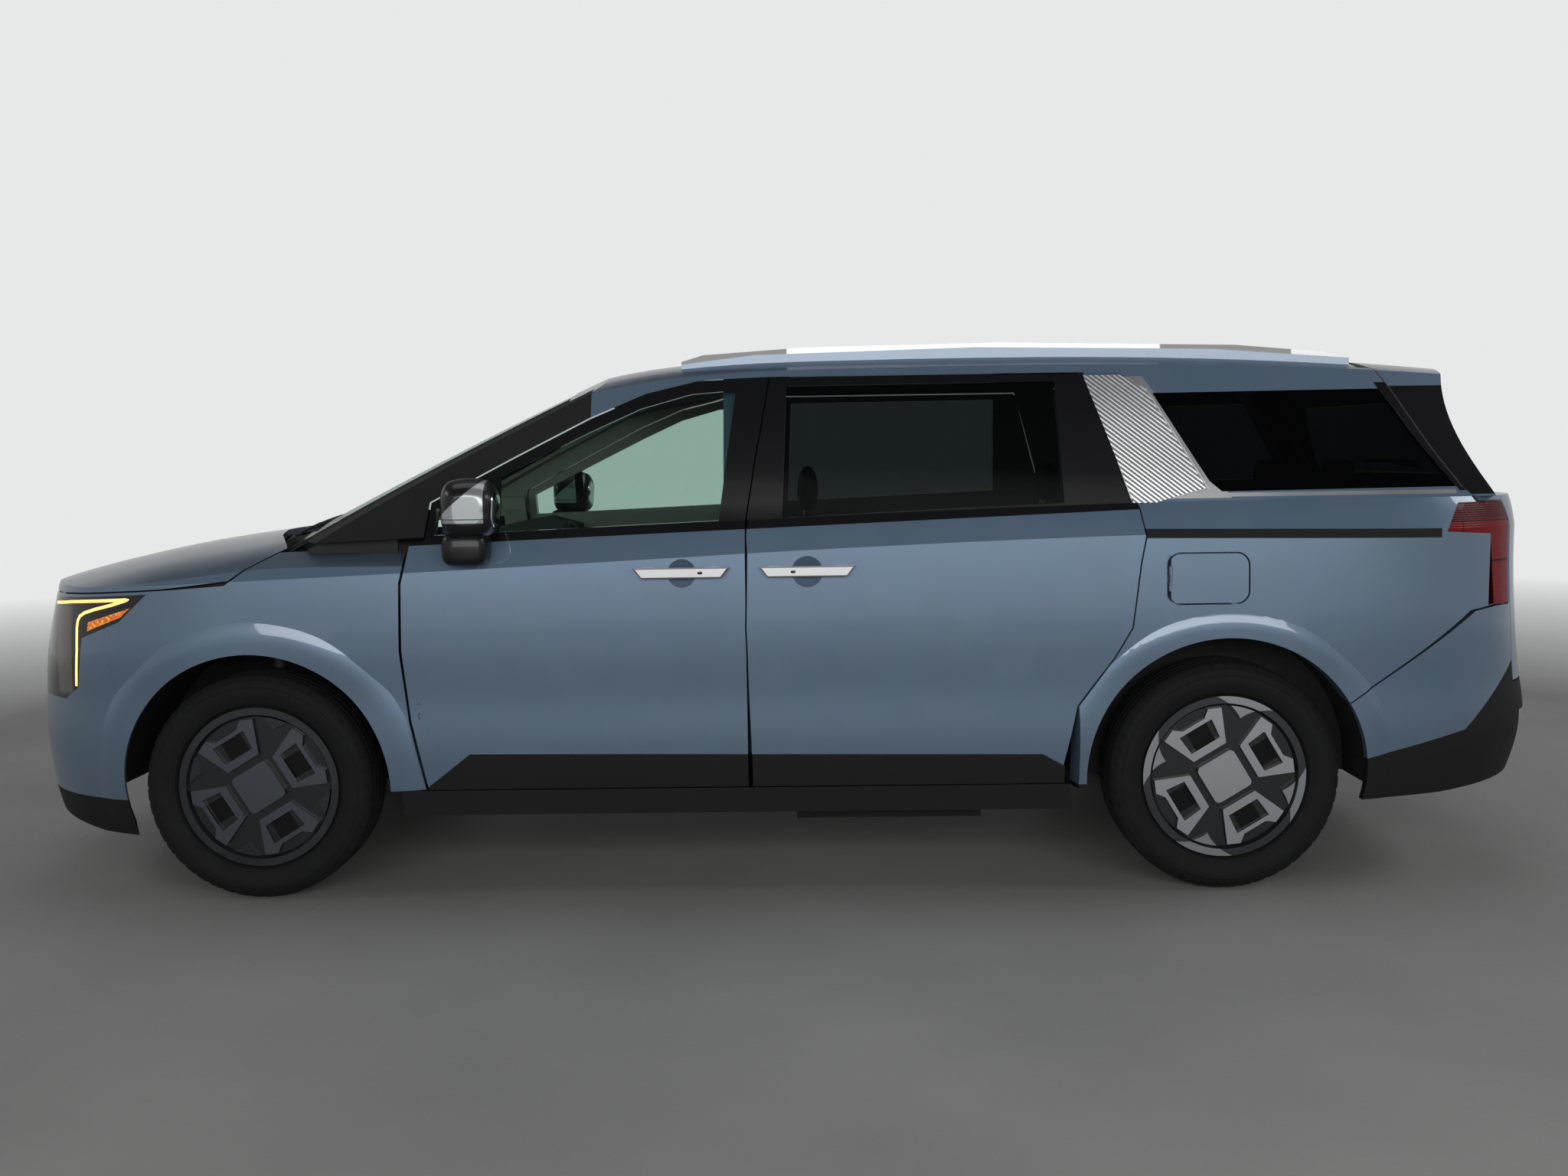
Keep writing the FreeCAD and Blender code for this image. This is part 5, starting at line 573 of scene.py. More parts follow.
def alloy(name, silver, plate_colour, ends):
    """Turned silver on the pocket frames, the cap and four plates of the edge, and black painted shade in
    the closed openings.
    """
    finish = Finish(name)
    low_corner, high_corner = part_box("rim_%s_left" % ends)
    hub = (low_corner + high_corner) / 2
    outward = abs(finish.facing_y).past(0.92, 0.03)
    ahead, up = finish.x - hub.x, finish.z - hub.z
    turned, crossed = abs(ahead * COS_30 + up * SIN_30), abs(up * COS_30 - ahead * SIN_30)
    far, near = turned.either(crossed), turned.lesser(crossed)
    reach = (ahead * ahead + up * up) ** 0.5
    face = outward * abs(finish.y).past(OUTER_PLANE, 0.0006) * reach.short(LIP_FROM)
    plates = outward * (reach - PLATE_FROM - PLATE_GROWTH * (1.0 - near / far)).past(0.0)
    # Painted shade: the closed pocket floors are painted black where holes would show the dark inside of the
    # wheel.
    painted_shade_openings = outward * far.between(POCKET_FROM, POCKET_TO) * near.short(POCKET_HALF)
    skin = look((0.018, 0.019, 0.021), 0.32, 0.5, 0.5)
    for mask, over in ((painted_shade_openings, look((0.0012, 0.0012, 0.0012), 0.8)),
                       (outward * reach.past(LIP_FROM), look((0.045, 0.047, 0.052), 0.30, 0.8, 0.4)),
                       (plates, look(plate_colour, 0.26, 0.95, 0.5)), (face, look(silver, 0.24, 0.95, 0.5)),
                       (abs(finish.y).between(*DISC_PLANES), look((0.32, 0.32, 0.33), 0.38, 1.0))):
        skin = cover(skin, mask, over)
    dress(pair("rim_" + ends), finished(finish, skin, mottle=0.03))


alloy("machined_alloy", (0.46, 0.48, 0.51), (0.36, 0.38, 0.41), "rear")
# Painted shade: the front wheels get darker colours, for the shade of their arches.
alloy("painted_shade_alloy", (0.115, 0.125, 0.15), (0.05, 0.052, 0.06), "front")


# %% [markdown]
# Below the floor everything is cast, coated or moulded, and one recipe serves all: a
# noise gives the rough skin of a casting, and a lower one that of tube and plastic.

# %% Steel and castings
def cast(names, name, shown, scale=220.0, relief=0.0008):
    finish = Finish(name)
    rough = finish.noise(scale, 4.0) * relief
    dress(names, finished(finish, shown, mottle=0.25, cloud_scale=9.0, relief=rough))


cast(["engine_block"] + pair("knuckle"), "cast_aluminium", look((0.24, 0.245, 0.25), 0.55, 0.8))
cast(["front_subframe", "front_struts", "rear_axle"], "coated_iron", look((0.045, 0.046, 0.048), 0.5, 0.3))
cast(["exhaust"], "steel_tube", look((0.33, 0.31, 0.29), 0.38, 0.95), 60.0, 0.0002)
cast(["radiator", "fuel_tank", "cowl", "front_wheel_liners"], "moulded_black",
     look((0.014, 0.014, 0.015), 0.7, 0.0, 0.0, 1.0), 300.0, 0.0004)

# %% [markdown]
# ## Indoors
# The cabin is lined in a pale warm grey above the windows' lower edge and in charcoal
# below it, with a looped carpet on the floor. These are seen through tinted glass or an
# open door, so their scale matters more than their colour: grain of a millimetre on
# the mouldings and loops of three on the carpet.

# %% Carpet, dashboard and wheel
deck = Finish("floor_and_carpet")
skin = cover(look((0.020, 0.020, 0.021), 0.75, 0.0, 0.0, 1.0), deck.facing_z.past(0.5, 0.1),
             look((0.045, 0.044, 0.043), 0.95))
dress(["floor_pan", "load_floor"],
      finished(deck, skin, mottle=0.3, cloud_scale=30.0, relief=deck.cells(320.0) * -0.0015))

PALE_BAND = (0.86, 0.99)
shelf = Finish("dashboard_moulding")
skin = cover(DARK_TRIM, shelf.z.between(*PALE_BAND, 0.003), look((0.28, 0.27, 0.25), 0.7, 0.0, 0.0, 0.6))
dress(["dashboard"], finished(shelf, skin, relief=shelf.noise(500.0) * 0.0006))

grip = Finish("steering_leather")
pebbled = grip.cells(420.0) * -0.0005
dress(["steering_wheel"], finished(grip, look((0.016, 0.016, 0.017), 0.5), relief=pebbled))

# %% [markdown]
# ## Adding pieces
# A new piece is a mesh, a finish and the name of the body that it moves with. Many of
# them lie on the curved skin of the CAD model, so a ray is cast at that skin and the
# piece is laid on the point that it hits, with the skin's own slope.

# %% Pieces
SIDES = ((-1, "left"), (1, "right"))


def solid(name, points, faces, bevel=0.0, steps=2, profile=0.6, sharper_than=0.7):
    """Object made of points and faces, turned outwards, with its sharp edges rounded off."""
    mesh = bpy.data.meshes.new(name)
    mesh.from_pydata([tuple(point) for point in points], [], faces)
    shape = bmesh.new()
    shape.from_mesh(mesh)
    bmesh.ops.recalc_face_normals(shape, faces=shape.faces)
    if bevel:
        sharp = [edge for edge in shape.edges
                 if len(edge.link_faces) == 2 and edge.calc_face_angle() > sharper_than]
        bmesh.ops.bevel(shape, geom=sharp, offset=bevel, segments=steps, profile=profile, affect="EDGES")
    shape.to_mesh(mesh)
    shape.free()
    return new_object(name, mesh)


def add_piece(name, points, faces, material, body, slot, smooth=True, place=(0, 0, 0), bevel=0.0):
    made = solid(name, points, faces, bevel)
    made.location = place
    made.data.materials.append(material)
    made.data.polygons.foreach_set("use_smooth", [smooth] * len(made.data.polygons))
    if bevel:
        made.data.set_sharp_from_angle(angle=0.6)
    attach(made, body)
    return made


# %% Rays at a skin
BESIDE = 1.2


def skin_tree(name):
    mesh = nodes[name].data
    return BVHTree.FromPolygons([v.co for v in mesh.vertices], [tuple(p.vertices) for p in mesh.polygons])


def land(tree, start, direction):
    """Point and slope where a ray meets a skin, or nearest to its start if it misses."""
    point, slope, _, _ = tree.ray_cast(Vector(start), Vector(direction).normalized())
    if point is None:
        point, slope, _, _ = tree.find_nearest(Vector(start))
    return point, slope


def land_from(side, tree, x, z):
    """Point and slope where a ray from the left (-1) or the right (1) of the van meets a skin."""
    return land(tree, (x, side * BESIDE, z), (0, -side, 0))


# %% [markdown]
# Most pieces come from a few simple shapes: a grid of points, a section swept along a
# route, a flat plate. Each helper gives points and faces, so that shapes can be joined,
# moved or mirrored before they become a mesh.

# %% Grids, ribbons and plates
def grid_faces(rows, columns, closed_rows=False, closed_columns=False):
    """Four-sided faces of a grid of points that are listed row by row."""
    return [(r * columns + c, r * columns + (c + 1) % columns,
             (r + 1) % rows * columns + (c + 1) % columns, (r + 1) % rows * columns + c)
            for r in range(rows if closed_rows else rows - 1)
            for c in range(columns if closed_columns else columns - 1)]


def tube_faces(rows, columns):
    """Faces of a solid made of rings, row by row: its two end faces and then its wall."""
    ends = [tuple(range(columns)), tuple(range((rows - 1) * columns, rows * columns))]
    return ends + grid_faces(rows, columns, closed_columns=True)


def divide(corners, step):
    """Points about a step apart along straight runs."""
    points = [Vector(corners[0])]
    for first, last in zip(corners, corners[1:]):
        first, last = Vector(first), Vector(last)
        count = max(1, round((last - first).length / step))
        points += [first.lerp(last, n / count) for n in range(1, count + 1)]
    return points


def ribbon(points, slopes, section):
    """Points and faces of a section swept along points. Its corners are (across, out), in metres."""
    swept = []
    for index, (point, slope) in enumerate(zip(points, slopes)):
        ahead = (points[min(index + 1, len(points) - 1)] - points[max(index - 1, 0)]).normalized()
        across = ahead.cross(slope).normalized()
        swept += [point + across * a + slope * b for a, b in section]
    return swept, tube_faces(len(points), len(section))


def plate(outline, thickness):
    """Points and faces of a flat plate: x and y in its own plane, and its height."""
    return [(a, b, height) for height in (0.0, thickness) for a, b in outline], tube_faces(2, len(outline))


def join(*shapes):
    """One shape out of several, each given as points and faces."""
    points, faces = [], []
    for more, more_faces in shapes:
        faces += [tuple(corner + len(points) for corner in face) for face in more_faces]
        points += more
    return points, faces


def circle(radius, count):
    return [(radius * math.cos(2 * math.pi * n / count), radius * math.sin(2 * math.pi * n / count))
            for n in range(count)]


def round_corners(width, height, radius, steps=6):
    """Ring of points of a rectangle with round corners."""
    ring = []
    for quarter, (sx, sy) in enumerate(((1, 1), (-1, 1), (-1, -1), (1, -1))):
        for step in range(steps + 1):
            angle = math.radians(90 * quarter + 90 * step / steps)
            ring.append((sx * (width / 2 - radius) + radius * math.cos(angle),
                         sy * (height / 2 - radius) + radius * math.sin(angle)))
    return ring


def stand(points, place, out):
    """Moves points so that their height runs along out, and their second axis as near up as it can."""
    out = Vector(out).normalized()
    side = Vector((0, 0, 1)).cross(out).normalized()
    turn = Matrix((side, out.cross(side), out)).transposed()
    return [turn @ Vector(point) + Vector(place) for point in points]


# %% [markdown]
# ## Tyres
# A tyre is a turned shape, so one profile swept round the axle gives it: bead, sidewall
# with its rim guard, shoulder and tread. Four grooves run round the tread, and narrow
# cuts cross the shoulders, as rain channels do. Swept as a grid of points, the cuts are
# just points that lie a little nearer the axle. All four wheels share the one mesh.

# %% Profile of the tyre, in millimetres
TYRE_PROFILE = [(-83.5, 241.5), (-83.5, 262), (-95, 265), (-104, 276), (-109, 287), (-113.5, 300),
                (-115.6, 316), (-113.6, 331), (-107, 346.5), (-99, 355.5), (-88, 361.6), (-76, 364.4),
                (-65, 365.6), (0, 366)]
PROFILE_STEP, SIDEWALL_TOP, TREAD_LOW, CROWN_RADIUS, CROWN_FALL = 5.0, 340, 360, 365.7, 0.006
GROOVES, GROOVE_HALF, GROOVE_CLEAR, GROOVE_DEPTH, GROOVE_TAPER = (-60, -21, 21, 60), 4.5, 1.0, 7.5, 1.2

half = []
for (a, b), (c, d) in zip(TYRE_PROFILE, TYRE_PROFILE[1:]):
    steps = max(1, round(math.hypot(c - a, d - b) / PROFILE_STEP))
    half += [(a + (c - a) * n / steps, b + (d - b) * n / steps) for n in range(steps)]
profile = half + TYRE_PROFILE[-1:] + [(-a, b) for a, b in reversed(half)]
for groove in GROOVES:
    profile = [(a, b) for a, b in profile if abs(a - groove) > GROOVE_HALF + GROOVE_CLEAR or b < TREAD_LOW]
    crown = CROWN_RADIUS - abs(groove) * CROWN_FALL
    profile += [(groove + side * reach, crown - depth) for side in (-1, 1)
                for reach, depth in ((GROOVE_HALF, 0.0), (GROOVE_HALF - GROOVE_TAPER, GROOVE_DEPTH))]
profile = ([(a, b) for a, b in profile if b < SIDEWALL_TOP and a < 0]
           + sorted((a, b) for a, b in profile if b >= SIDEWALL_TOP)
           + [(a, b) for a, b in profile if b < SIDEWALL_TOP and a > 0])
print("The tyre's profile has", len(profile), "points")

# %% [markdown]
# The profile is swept round the axle in 288 steps. Every sixth step is cut back at the
# shoulders, and the steps halfway between are cut back on the inner ribs.

# %% Tyres with tread
TURNS, CUT_EVERY = 288, 6
SHOULDER_CUT = {"turn": 0, "reach": (66, 108), "above": 348, "depth": 3.2}
RIB_CUT = {"turn": 3, "reach": (8, 52), "above": 362, "depth": 2.2}


def cut_depth(turn, a, b):
    """How much nearer to the axle a point of the profile lies at one turn."""
    return sum(cut["depth"] for cut in (SHOULDER_CUT, RIB_CUT) if turn % CUT_EVERY == cut["turn"]
               and cut["reach"][0] < abs(a) < cut["reach"][1] and b > cut["above"])


points = []
for turn in range(TURNS):
    angle = 2 * math.pi * turn / TURNS
    for a, b in profile:
        radius = (b - cut_depth(turn, a, b)) / 1000
        points.append((radius * math.cos(angle), a / 1000, radius * math.sin(angle)))
rings = grid_faces(TURNS, len(profile), closed_rows=True, closed_columns=True)

rubber = Finish("tyre_rubber")
RIM_GUARD, WALL_RING, WORN_FROM, GUARD_HEIGHT = (0.268, 0.272), (0.325, 0.328), 0.352, 0.0012
reach = rubber.length(rubber.node("ShaderNodeCombineXYZ", {}, {"X": rubber.x, "Z": rubber.z}))
guards = reach.between(*RIM_GUARD).either(reach.between(*WALL_RING)) * GUARD_HEIGHT
skin = cover(look((0.0065, 0.0065, 0.007), 0.72, 0.0, 0.0, 1.0), reach.past(WORN_FROM, 0.004),
             look((0.011, 0.011, 0.0115), 0.85))
rubber_material = finished(rubber, skin, mottle=0.2, cloud_scale=18.0, relief=guards, specular=0.18)
shared = None
for node in [name for name in nodes if name.startswith("tyre_")]:
    low_corner, high_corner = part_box(node)
    made = add_piece(node.replace("tyre", "treaded_tyre"), points, rings, rubber_material,
                     node.replace("tyre", "wheel"), "tyre", place=(low_corner + high_corner) / 2)
    shared = shared or made.data
    made.data = shared
    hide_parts(node)
print("A tyre has", len(rings), "faces and", TURNS // CUT_EVERY, "shoulder cuts")

# %% [markdown]
# ## Light guides and turn signals
# The daylight line of the headlamp is a clear plastic rod behind the lens, lit from its
# end, so it glows evenly along its length. It runs back along the top edge, folds under
# itself and drops down the front corner. A half-round ribbon laid along rays on the
# lens follows that line round the corner of the van, and the amber signal below it is a
# plate of small facets.

# %% Glowing finishes
glow = Finish("amber_light_guide")
amber = glow.blend(glow.noise(35.0, 2.0), (1.0, 0.42, 0.06), (1.0, 0.62, 0.20))
glow_material = glow.end(glow.node("ShaderNodeBsdfPrincipled", {}, {
    "Base Color": (1.0, 0.6, 0.25), "Roughness": 0.3, "Emission Color": amber, "Emission Strength": 1.35}))
facets = Finish("amber_signal")
tone = facets.blend(facets.cells(90.0) * 1.6, (0.95, 0.36, 0.02), (0.45, 0.10, 0.01))
signal_material = facets.end(facets.node("ShaderNodeBsdfPrincipled", {}, {
    "Base Color": tone, "Roughness": 0.25, "Coat Weight": 1.0, "Emission Color": tone,
    "Emission Strength": 0.55}))
print("Glowing finishes:", glow_material.name, "and", signal_material.name)

# %% [markdown]
# The route of the guide is given in side view, in metres: from the nose back along the
# top, round the fold and down to the lamp's foot. The signal is a grid between a top
# and a foot line, with every second point raised, so that its faces tilt like cut
# facets.

# %% Guides and signals
GUIDE = [(-2.362, 0.953), (-2.257, 0.9645), (-2.1653, 0.9705), (-2.024, 0.9780), (-2.0855, 0.9600),
         (-2.1512, 0.9450), (-2.1973, 0.9319), (-2.2190, 0.9200), (-2.2280, 0.9050), (-2.2320, 0.8850),
         (-2.2340, 0.8082), (-2.2455, 0.6922)]
GUIDE_STEP = 0.008
GUIDE_SECTION = [(-0.0055, -0.004), (-0.0050, 0.0015), (-0.0025, 0.0032), (0.0025, 0.0032), (0.0050, 0.0015),
                 (0.0055, -0.004)]
SIGNAL_TOP = Vector((-2.1817, 0.9020)), Vector((-2.0180, 0.9510))
SIGNAL_FOOT = Vector((-2.1847, 0.8735)), Vector((-2.0513, 0.9225))
FACETS_LONG, FACETS_HIGH, FACET_HEIGHTS = 14, 5, (0.0008, 0.0022)
lens = skin_tree("headlamps")
for side, word in SIDES:
    spots = [land_from(side, lens, point.x, point.z)
             for point in divide([(x, 0.0, z) for x, z in GUIDE], GUIDE_STEP)]
    add_piece("light_guide_" + word, *ribbon(*zip(*spots), GUIDE_SECTION), glow_material,
              "root", "headlamp_lens")
    rows = []
    for n in range(FACETS_LONG + 1):
        top, foot = (ends[0].lerp(ends[1], n / FACETS_LONG) for ends in (SIGNAL_TOP, SIGNAL_FOOT))
        for m in range(FACETS_HIGH + 1):
            point, slope = land_from(side, lens, *top.lerp(foot, m / FACETS_HIGH))
            rows.append(point + slope * FACET_HEIGHTS[(n + m) % 2])
    add_piece("turn_signal_" + word, rows, grid_faces(FACETS_LONG + 1, FACETS_HIGH + 1), signal_material,
              "root", "headlamp_lens", smooth=False)
print("Each light guide is laid over", len(spots), "points")

# %% [markdown]
# ## Mirror glasses
# The glass of a door mirror sits in the open back of its shell and follows the shell's
# edge. It is a slightly domed pane, so rings of points, each smaller than the last, are
# laid on the shell by rays from behind.

# %% Mirror glasses
MIRROR_CENTRE, MIRROR_SIZE, MIRROR_ROUND, BEHIND_MIRROR = (1.030, 1.250), (0.126, 0.108), 0.034, -0.5
RING_SHARES, EDGE_LIFT, PANE_LIFT = (1.0, 0.97, 0.75, 0.5, 0.25, 0.02), 0.0004, 0.0016
silvering = Finish("mirror_glass")
silvering_material = silvering.end(silvering.node("ShaderNodeBsdfPrincipled", {}, {
    "Base Color": (0.72, 0.75, 0.77), "Metallic": 1.0, "Roughness": 0.02 + 0.02 * silvering.noise(20.0)}))
ring = round_corners(*MIRROR_SIZE, MIRROR_ROUND)
for side, word in SIDES:
    tree = skin_tree("mirror_" + word)
    rows = []
    for share in RING_SHARES:
        lift = Vector((EDGE_LIFT if share == 1.0 else PANE_LIFT, 0, 0))
        for a, b in ring:
            start = (BEHIND_MIRROR, side * (MIRROR_CENTRE[0] + a * share), MIRROR_CENTRE[1] + b * share)
            rows.append(land(tree, start, (-1, 0, 0))[0] + lift)
    add_piece("mirror_glass_" + word, rows, tube_faces(len(RING_SHARES), len(ring))[1:], silvering_material,
              "front_door_" + word, "satin_silver")
print("A mirror glass has", len(rows), "points")

# %% [markdown]
# ## Mirror feet and pillar covers
# The mirror stands on a rounded black foot, fourteen centimetres wide, which also hides
# its hinge. A block with very round edges is a superellipsoid: a sphere's sines and
# cosines, each replaced by its square root. Behind the fender's top a moulded cover
# closes the wedge between fender and windscreen pillar.

# %% Feet and covers
FOOT_PLACE, FOOT_HALF = (-0.935, 0.990, 1.128), (0.072, 0.072, 0.054)
COVER_OUTLINE = [(-1.470, 1.110), (-1.181, 1.112), (-1.181, 1.160), (-1.400, 1.150), (-1.470, 1.128)]
COVER_PLACE, COVER_THICKNESS = 0.881, 0.004
soft_black = plain("soft_black", look((0.012, 0.012, 0.013), 0.6, 0.0, 0.0, 0.6))
satin_black = plain("satin_black", look(INK, 0.42, 0.0, 0.25, 0.3))


def pebble(centre, half, power=4.0, around=28, upward=14):
    """Points and faces of a block with very round edges."""
    def soft(value):
        return math.copysign(abs(value) ** (2.0 / power), value)
    points = []
    for row in range(upward + 1):
        rise = math.pi * (row / upward - 0.5) * 0.999
        for column in range(around):
            turn = 2 * math.pi * column / around
            unit = (soft(math.cos(rise)) * soft(math.cos(turn)), soft(math.cos(rise)) * soft(math.sin(turn)),
                    soft(math.sin(rise)))
            points.append([c + h * s for c, h, s in zip(centre, half, unit)])
    return points, tube_faces(upward + 1, around)


for side, word in SIDES:
    x, y, z = FOOT_PLACE
    add_piece("mirror_foot_" + word, *pebble((x, side * y, z), FOOT_HALF), satin_black,
              "front_door_" + word, "gloss_black")
    points, faces = plate(COVER_OUTLINE, COVER_THICKNESS)
    points = [(x, side * (COVER_PLACE + depth), z) for x, z, depth in points]
    add_piece("pillar_cover_" + word, points, faces, soft_black, "root", "grained_black", smooth=False)
print("Mirror feet and pillar covers are on")

# %% [markdown]
# ## Handle sensors, plate, hood seal and wipers
# Small things carry the scale of a car: the black sensor on each handle, the wiper
# blades that lie along the foot of the glass, and a blank number plate held by four
# screws. Each is a ribbon or a plate with its edges rounded off.

# %% Handle sensors
SENSOR_HEIGHT, SENSOR_SIZE, SENSOR_ROUND, SENSOR_THICKNESS = 1.0435, (0.016, 0.010), 0.0049, 0.0012
SENSOR_SUNK, SENSOR_PLACES = 0.0004, (("front", -0.205), ("sliding", 0.085))
black_glass = plain("black_glass", look(INK, 0.08, 0.0, 1.0), mottle=0.02)
points, faces = plate(round_corners(*SENSOR_SIZE, SENSOR_ROUND), SENSOR_THICKNESS)
for kind, x in SENSOR_PLACES:
    for side, word in SIDES:
        handle, body = (("door_handle_" + word, "front_door_" + word) if kind == "front"
                        else ("sliding_door_handles", "root"))
        spot, slope = land_from(side, skin_tree(handle), x, SENSOR_HEIGHT)
        add_piece("handle_sensor_%s_%s" % (kind, word), stand(points, spot - slope * SENSOR_SUNK, slope),
                  faces, black_glass, body, "gloss_black", bevel=0.0004)
print("Sensors are on four handles")

# %% Number plate
PLATE_HEIGHT, PLATE_SIZE, PLATE_ROUND, PLATE_THICKNESS = 0.776, (0.305, 0.152), 0.012, 0.0022
PLATE_EDGE, SEATED = (0.1465, 0.0700), 0.0004
SCREW_PLACE, SCREW_SIDES = (0.0889, 0.0603), 12
SCREW_RINGS = ((0.0062, 0.0), (0.0062, 0.0014), (0.0045, 0.0030), (0.0022, 0.0033), (0.0020, 0.0016),
               (0.0001, 0.0015))
BACKWARD = Vector((1, 0, 0))
blank = Finish("blank_plate")
margin = abs(blank.y).past(PLATE_EDGE[0]).either(abs(blank.z - PLATE_HEIGHT).past(PLATE_EDGE[1]))
skin = cover(look((0.62, 0.62, 0.60), 0.45), margin, look((0.30, 0.30, 0.31), 0.4, 0.6))
back, _ = land(skin_tree("tailgate"), (4.0, 0.0, PLATE_HEIGHT), -BACKWARD)
points, faces = plate(round_corners(*PLATE_SIZE, PLATE_ROUND), PLATE_THICKNESS)
add_piece("number_plate", stand(points, back + BACKWARD * SEATED, BACKWARD), faces, finished(blank, skin),
          "tailgate", "satin_silver", bevel=0.0008)
screw_material = plain("screw_steel", look((0.45, 0.45, 0.44), 0.35, 1.0))
points = [(a, b, height) for radius, height in SCREW_RINGS for a, b in circle(radius, SCREW_SIDES)]
faces = grid_faces(len(SCREW_RINGS), SCREW_SIDES, closed_columns=True)
corners = [(side * SCREW_PLACE[0], end * SCREW_PLACE[1]) for end in (-1, 1) for side in (-1, 1)]
for number, (y, z) in enumerate(corners, 1):
    where = back + Vector((SEATED + PLATE_THICKNESS, y, z))
    add_piece("plate_screw_%d" % number, stand(points, where, BACKWARD), faces, screw_material,
              "tailgate", "steel")
print("The plate stands at x =", round(back.x, 4))

# %% [markdown]
# A rubber curtain stands just inside the hood's edge and keeps water and daylight out of
# the gap. Rays cast upwards find the underside of the hood over each of its points, and
# the curtain ends a few millimetres below, so the hood lifts away from it freely.

# %% Hood seal
SEAL_HALF = [(-2.430, 0.0), (-2.460, 0.2), (-2.440, 0.4), (-2.395, 0.6), (-2.350, 0.7), (-2.285, 0.8),
             (-2.200, 0.88), (-2.120, 0.92), (-2.000, 0.935), (-1.900, 0.945), (-1.800, 0.95),
             (-1.700, 0.952)]
SEAL_CLEAR, SEAL_DROP, SEAL_WALL, SEAL_STEP, SEAL_START = 0.004, 0.075, 0.004, 0.03, 0.5
SEAL_SECTION = [(-SEAL_WALL, -SEAL_DROP), (-SEAL_WALL, -0.004), (0.0, 0.0), (SEAL_WALL, -0.004),
                (SEAL_WALL, -SEAL_DROP)]
UPWARD = Vector((0, 0, 1))
lid_tree = skin_tree("hood")
laid = []
for point in divide([(x, -y, SEAL_START) for x, y in reversed(SEAL_HALF)]
                    + [(x, y, SEAL_START) for x, y in SEAL_HALF[1:]], SEAL_STEP):
    spot, _ = land(lid_tree, point, UPWARD)
    laid.append(Vector((point.x, point.y, spot.z - SEAL_CLEAR)))
add_piece("hood_seal", *ribbon(laid, [UPWARD] * len(laid), SEAL_SECTION), soft_black,
          "root", "grained_black")
print("The hood seal runs over", len(laid), "points")

# %% [markdown]
# A wiper is an arm from its pivot to the blade's middle, and the blade with its rubber
# lip. Both are ribbons over the glass: the nearest point of the pane and its slope say
# how high each one lies.

# %% Wipers
ARM_SECTION = [(-0.0085, -0.003), (-0.0080, 0.003), (0.0, 0.0055), (0.0080, 0.003), (0.0085, -0.003)]
BLADE_SECTION = [(-0.0030, -0.0055), (-0.0105, 0.0015), (-0.0080, 0.0060), (0.0, 0.0095), (0.0080, 0.0060),
                 (0.0105, 0.0015), (0.0030, -0.0055)]
ARM_RISE, BLADE_RISE, WIPER_STEP, CABIN_MIDDLE = 0.0165, 0.0065, 0.02, Vector((0.3, 0, 1.0))
WIPERS = (
    ("wiper_driver", "windscreen", "root",
     ((-1.655, -0.62, 1.13), (-1.640, -0.30, 1.14), (-1.600, -0.05, 1.17)),
     ((-1.585, -0.46, 1.18), (-1.615, 0.24, 1.17))),
    ("wiper_passenger", "windscreen", "root",
     ((-1.675, 0.10, 1.13), (-1.655, 0.32, 1.14), (-1.600, 0.48, 1.17)),
     ((-1.618, 0.27, 1.17), (-1.520, 0.68, 1.19))),
    ("wiper_rear", "tailgate_window", "tailgate",
     ((2.42, 0.0, 1.320), (2.41, 0.10, 1.330), (2.40, 0.20, 1.335)),
     ((2.41, -0.02, 1.345), (2.36, 0.38, 1.345))))


def lay(tree, corners, rise):
    """Points that follow a pane at a height over it, with its slope at each."""
    spots, slopes = [], []
    for point in divide(corners, WIPER_STEP):
        spot, slope, _, _ = tree.find_nearest(point)
        slope = slope if slope.z > -0.2 and slope.dot(point - CABIN_MIDDLE) > 0 else -slope
        spots.append(spot + slope * rise)
        slopes.append(slope)
    return spots, slopes


for name, window, body, arm, edge in WIPERS:
    tree = skin_tree(window)
    points, faces = join(ribbon(*lay(tree, arm, ARM_RISE), ARM_SECTION),
                         ribbon(*lay(tree, edge, BLADE_RISE), BLADE_SECTION))
    add_piece(name, points, faces, soft_black, body, "grained_black")
print("There are", len(WIPERS), "wipers")

# %% [markdown]
# ## Seats
# Each seat is a foam cushion and a foam back under stretched leather, with a headrest on
# two steel rods. Foam pushes the leather out between its seams, so the form is a crowned
# pad with its sides pulled in, never a box. Moving every point by hand would not give
# that. Here a slightly small block is remeshed into even squares and blown up by the
# cloth solver, and each point's way is capped, so that the pad stays inside the space
# of its plain solid. The sewn channels are pressed in afterwards, because remeshing
# would lose them.

# %% Blowing up a pad
PAD_VOXEL, PAD_CAP, PAD_INSET, PAD_BEVEL = 0.016, 0.024, 0.014, 0.022
PRESSURE, FRAMES = 4.0, 20


def block(name, outline, half_width, inset=PAD_INSET):
    """Closed block: a side outline in x and z, drawn in a little, as wide as the seat."""
    ring = [Vector(corner) for corner in outline]
    middle = sum(ring, Vector((0, 0))) / len(ring)
    drawn = [corner + (middle - corner).normalized() * inset for corner in ring]
    points = [(p.x, y, p.y) for y in (-half_width + inset, half_width - inset) for p in drawn]
    return solid(name, points, tube_faces(2, len(ring)), PAD_BEVEL, steps=3, profile=0.5, sharper_than=-1.0)


def settle(piece):
    """Replaces a piece's mesh by what its modifiers make of it."""
    graph = bpy.context.evaluated_depsgraph_get()
    mesh = bpy.data.meshes.new_from_object(piece.evaluated_get(graph))
    piece.modifiers.clear()
    piece.data = mesh


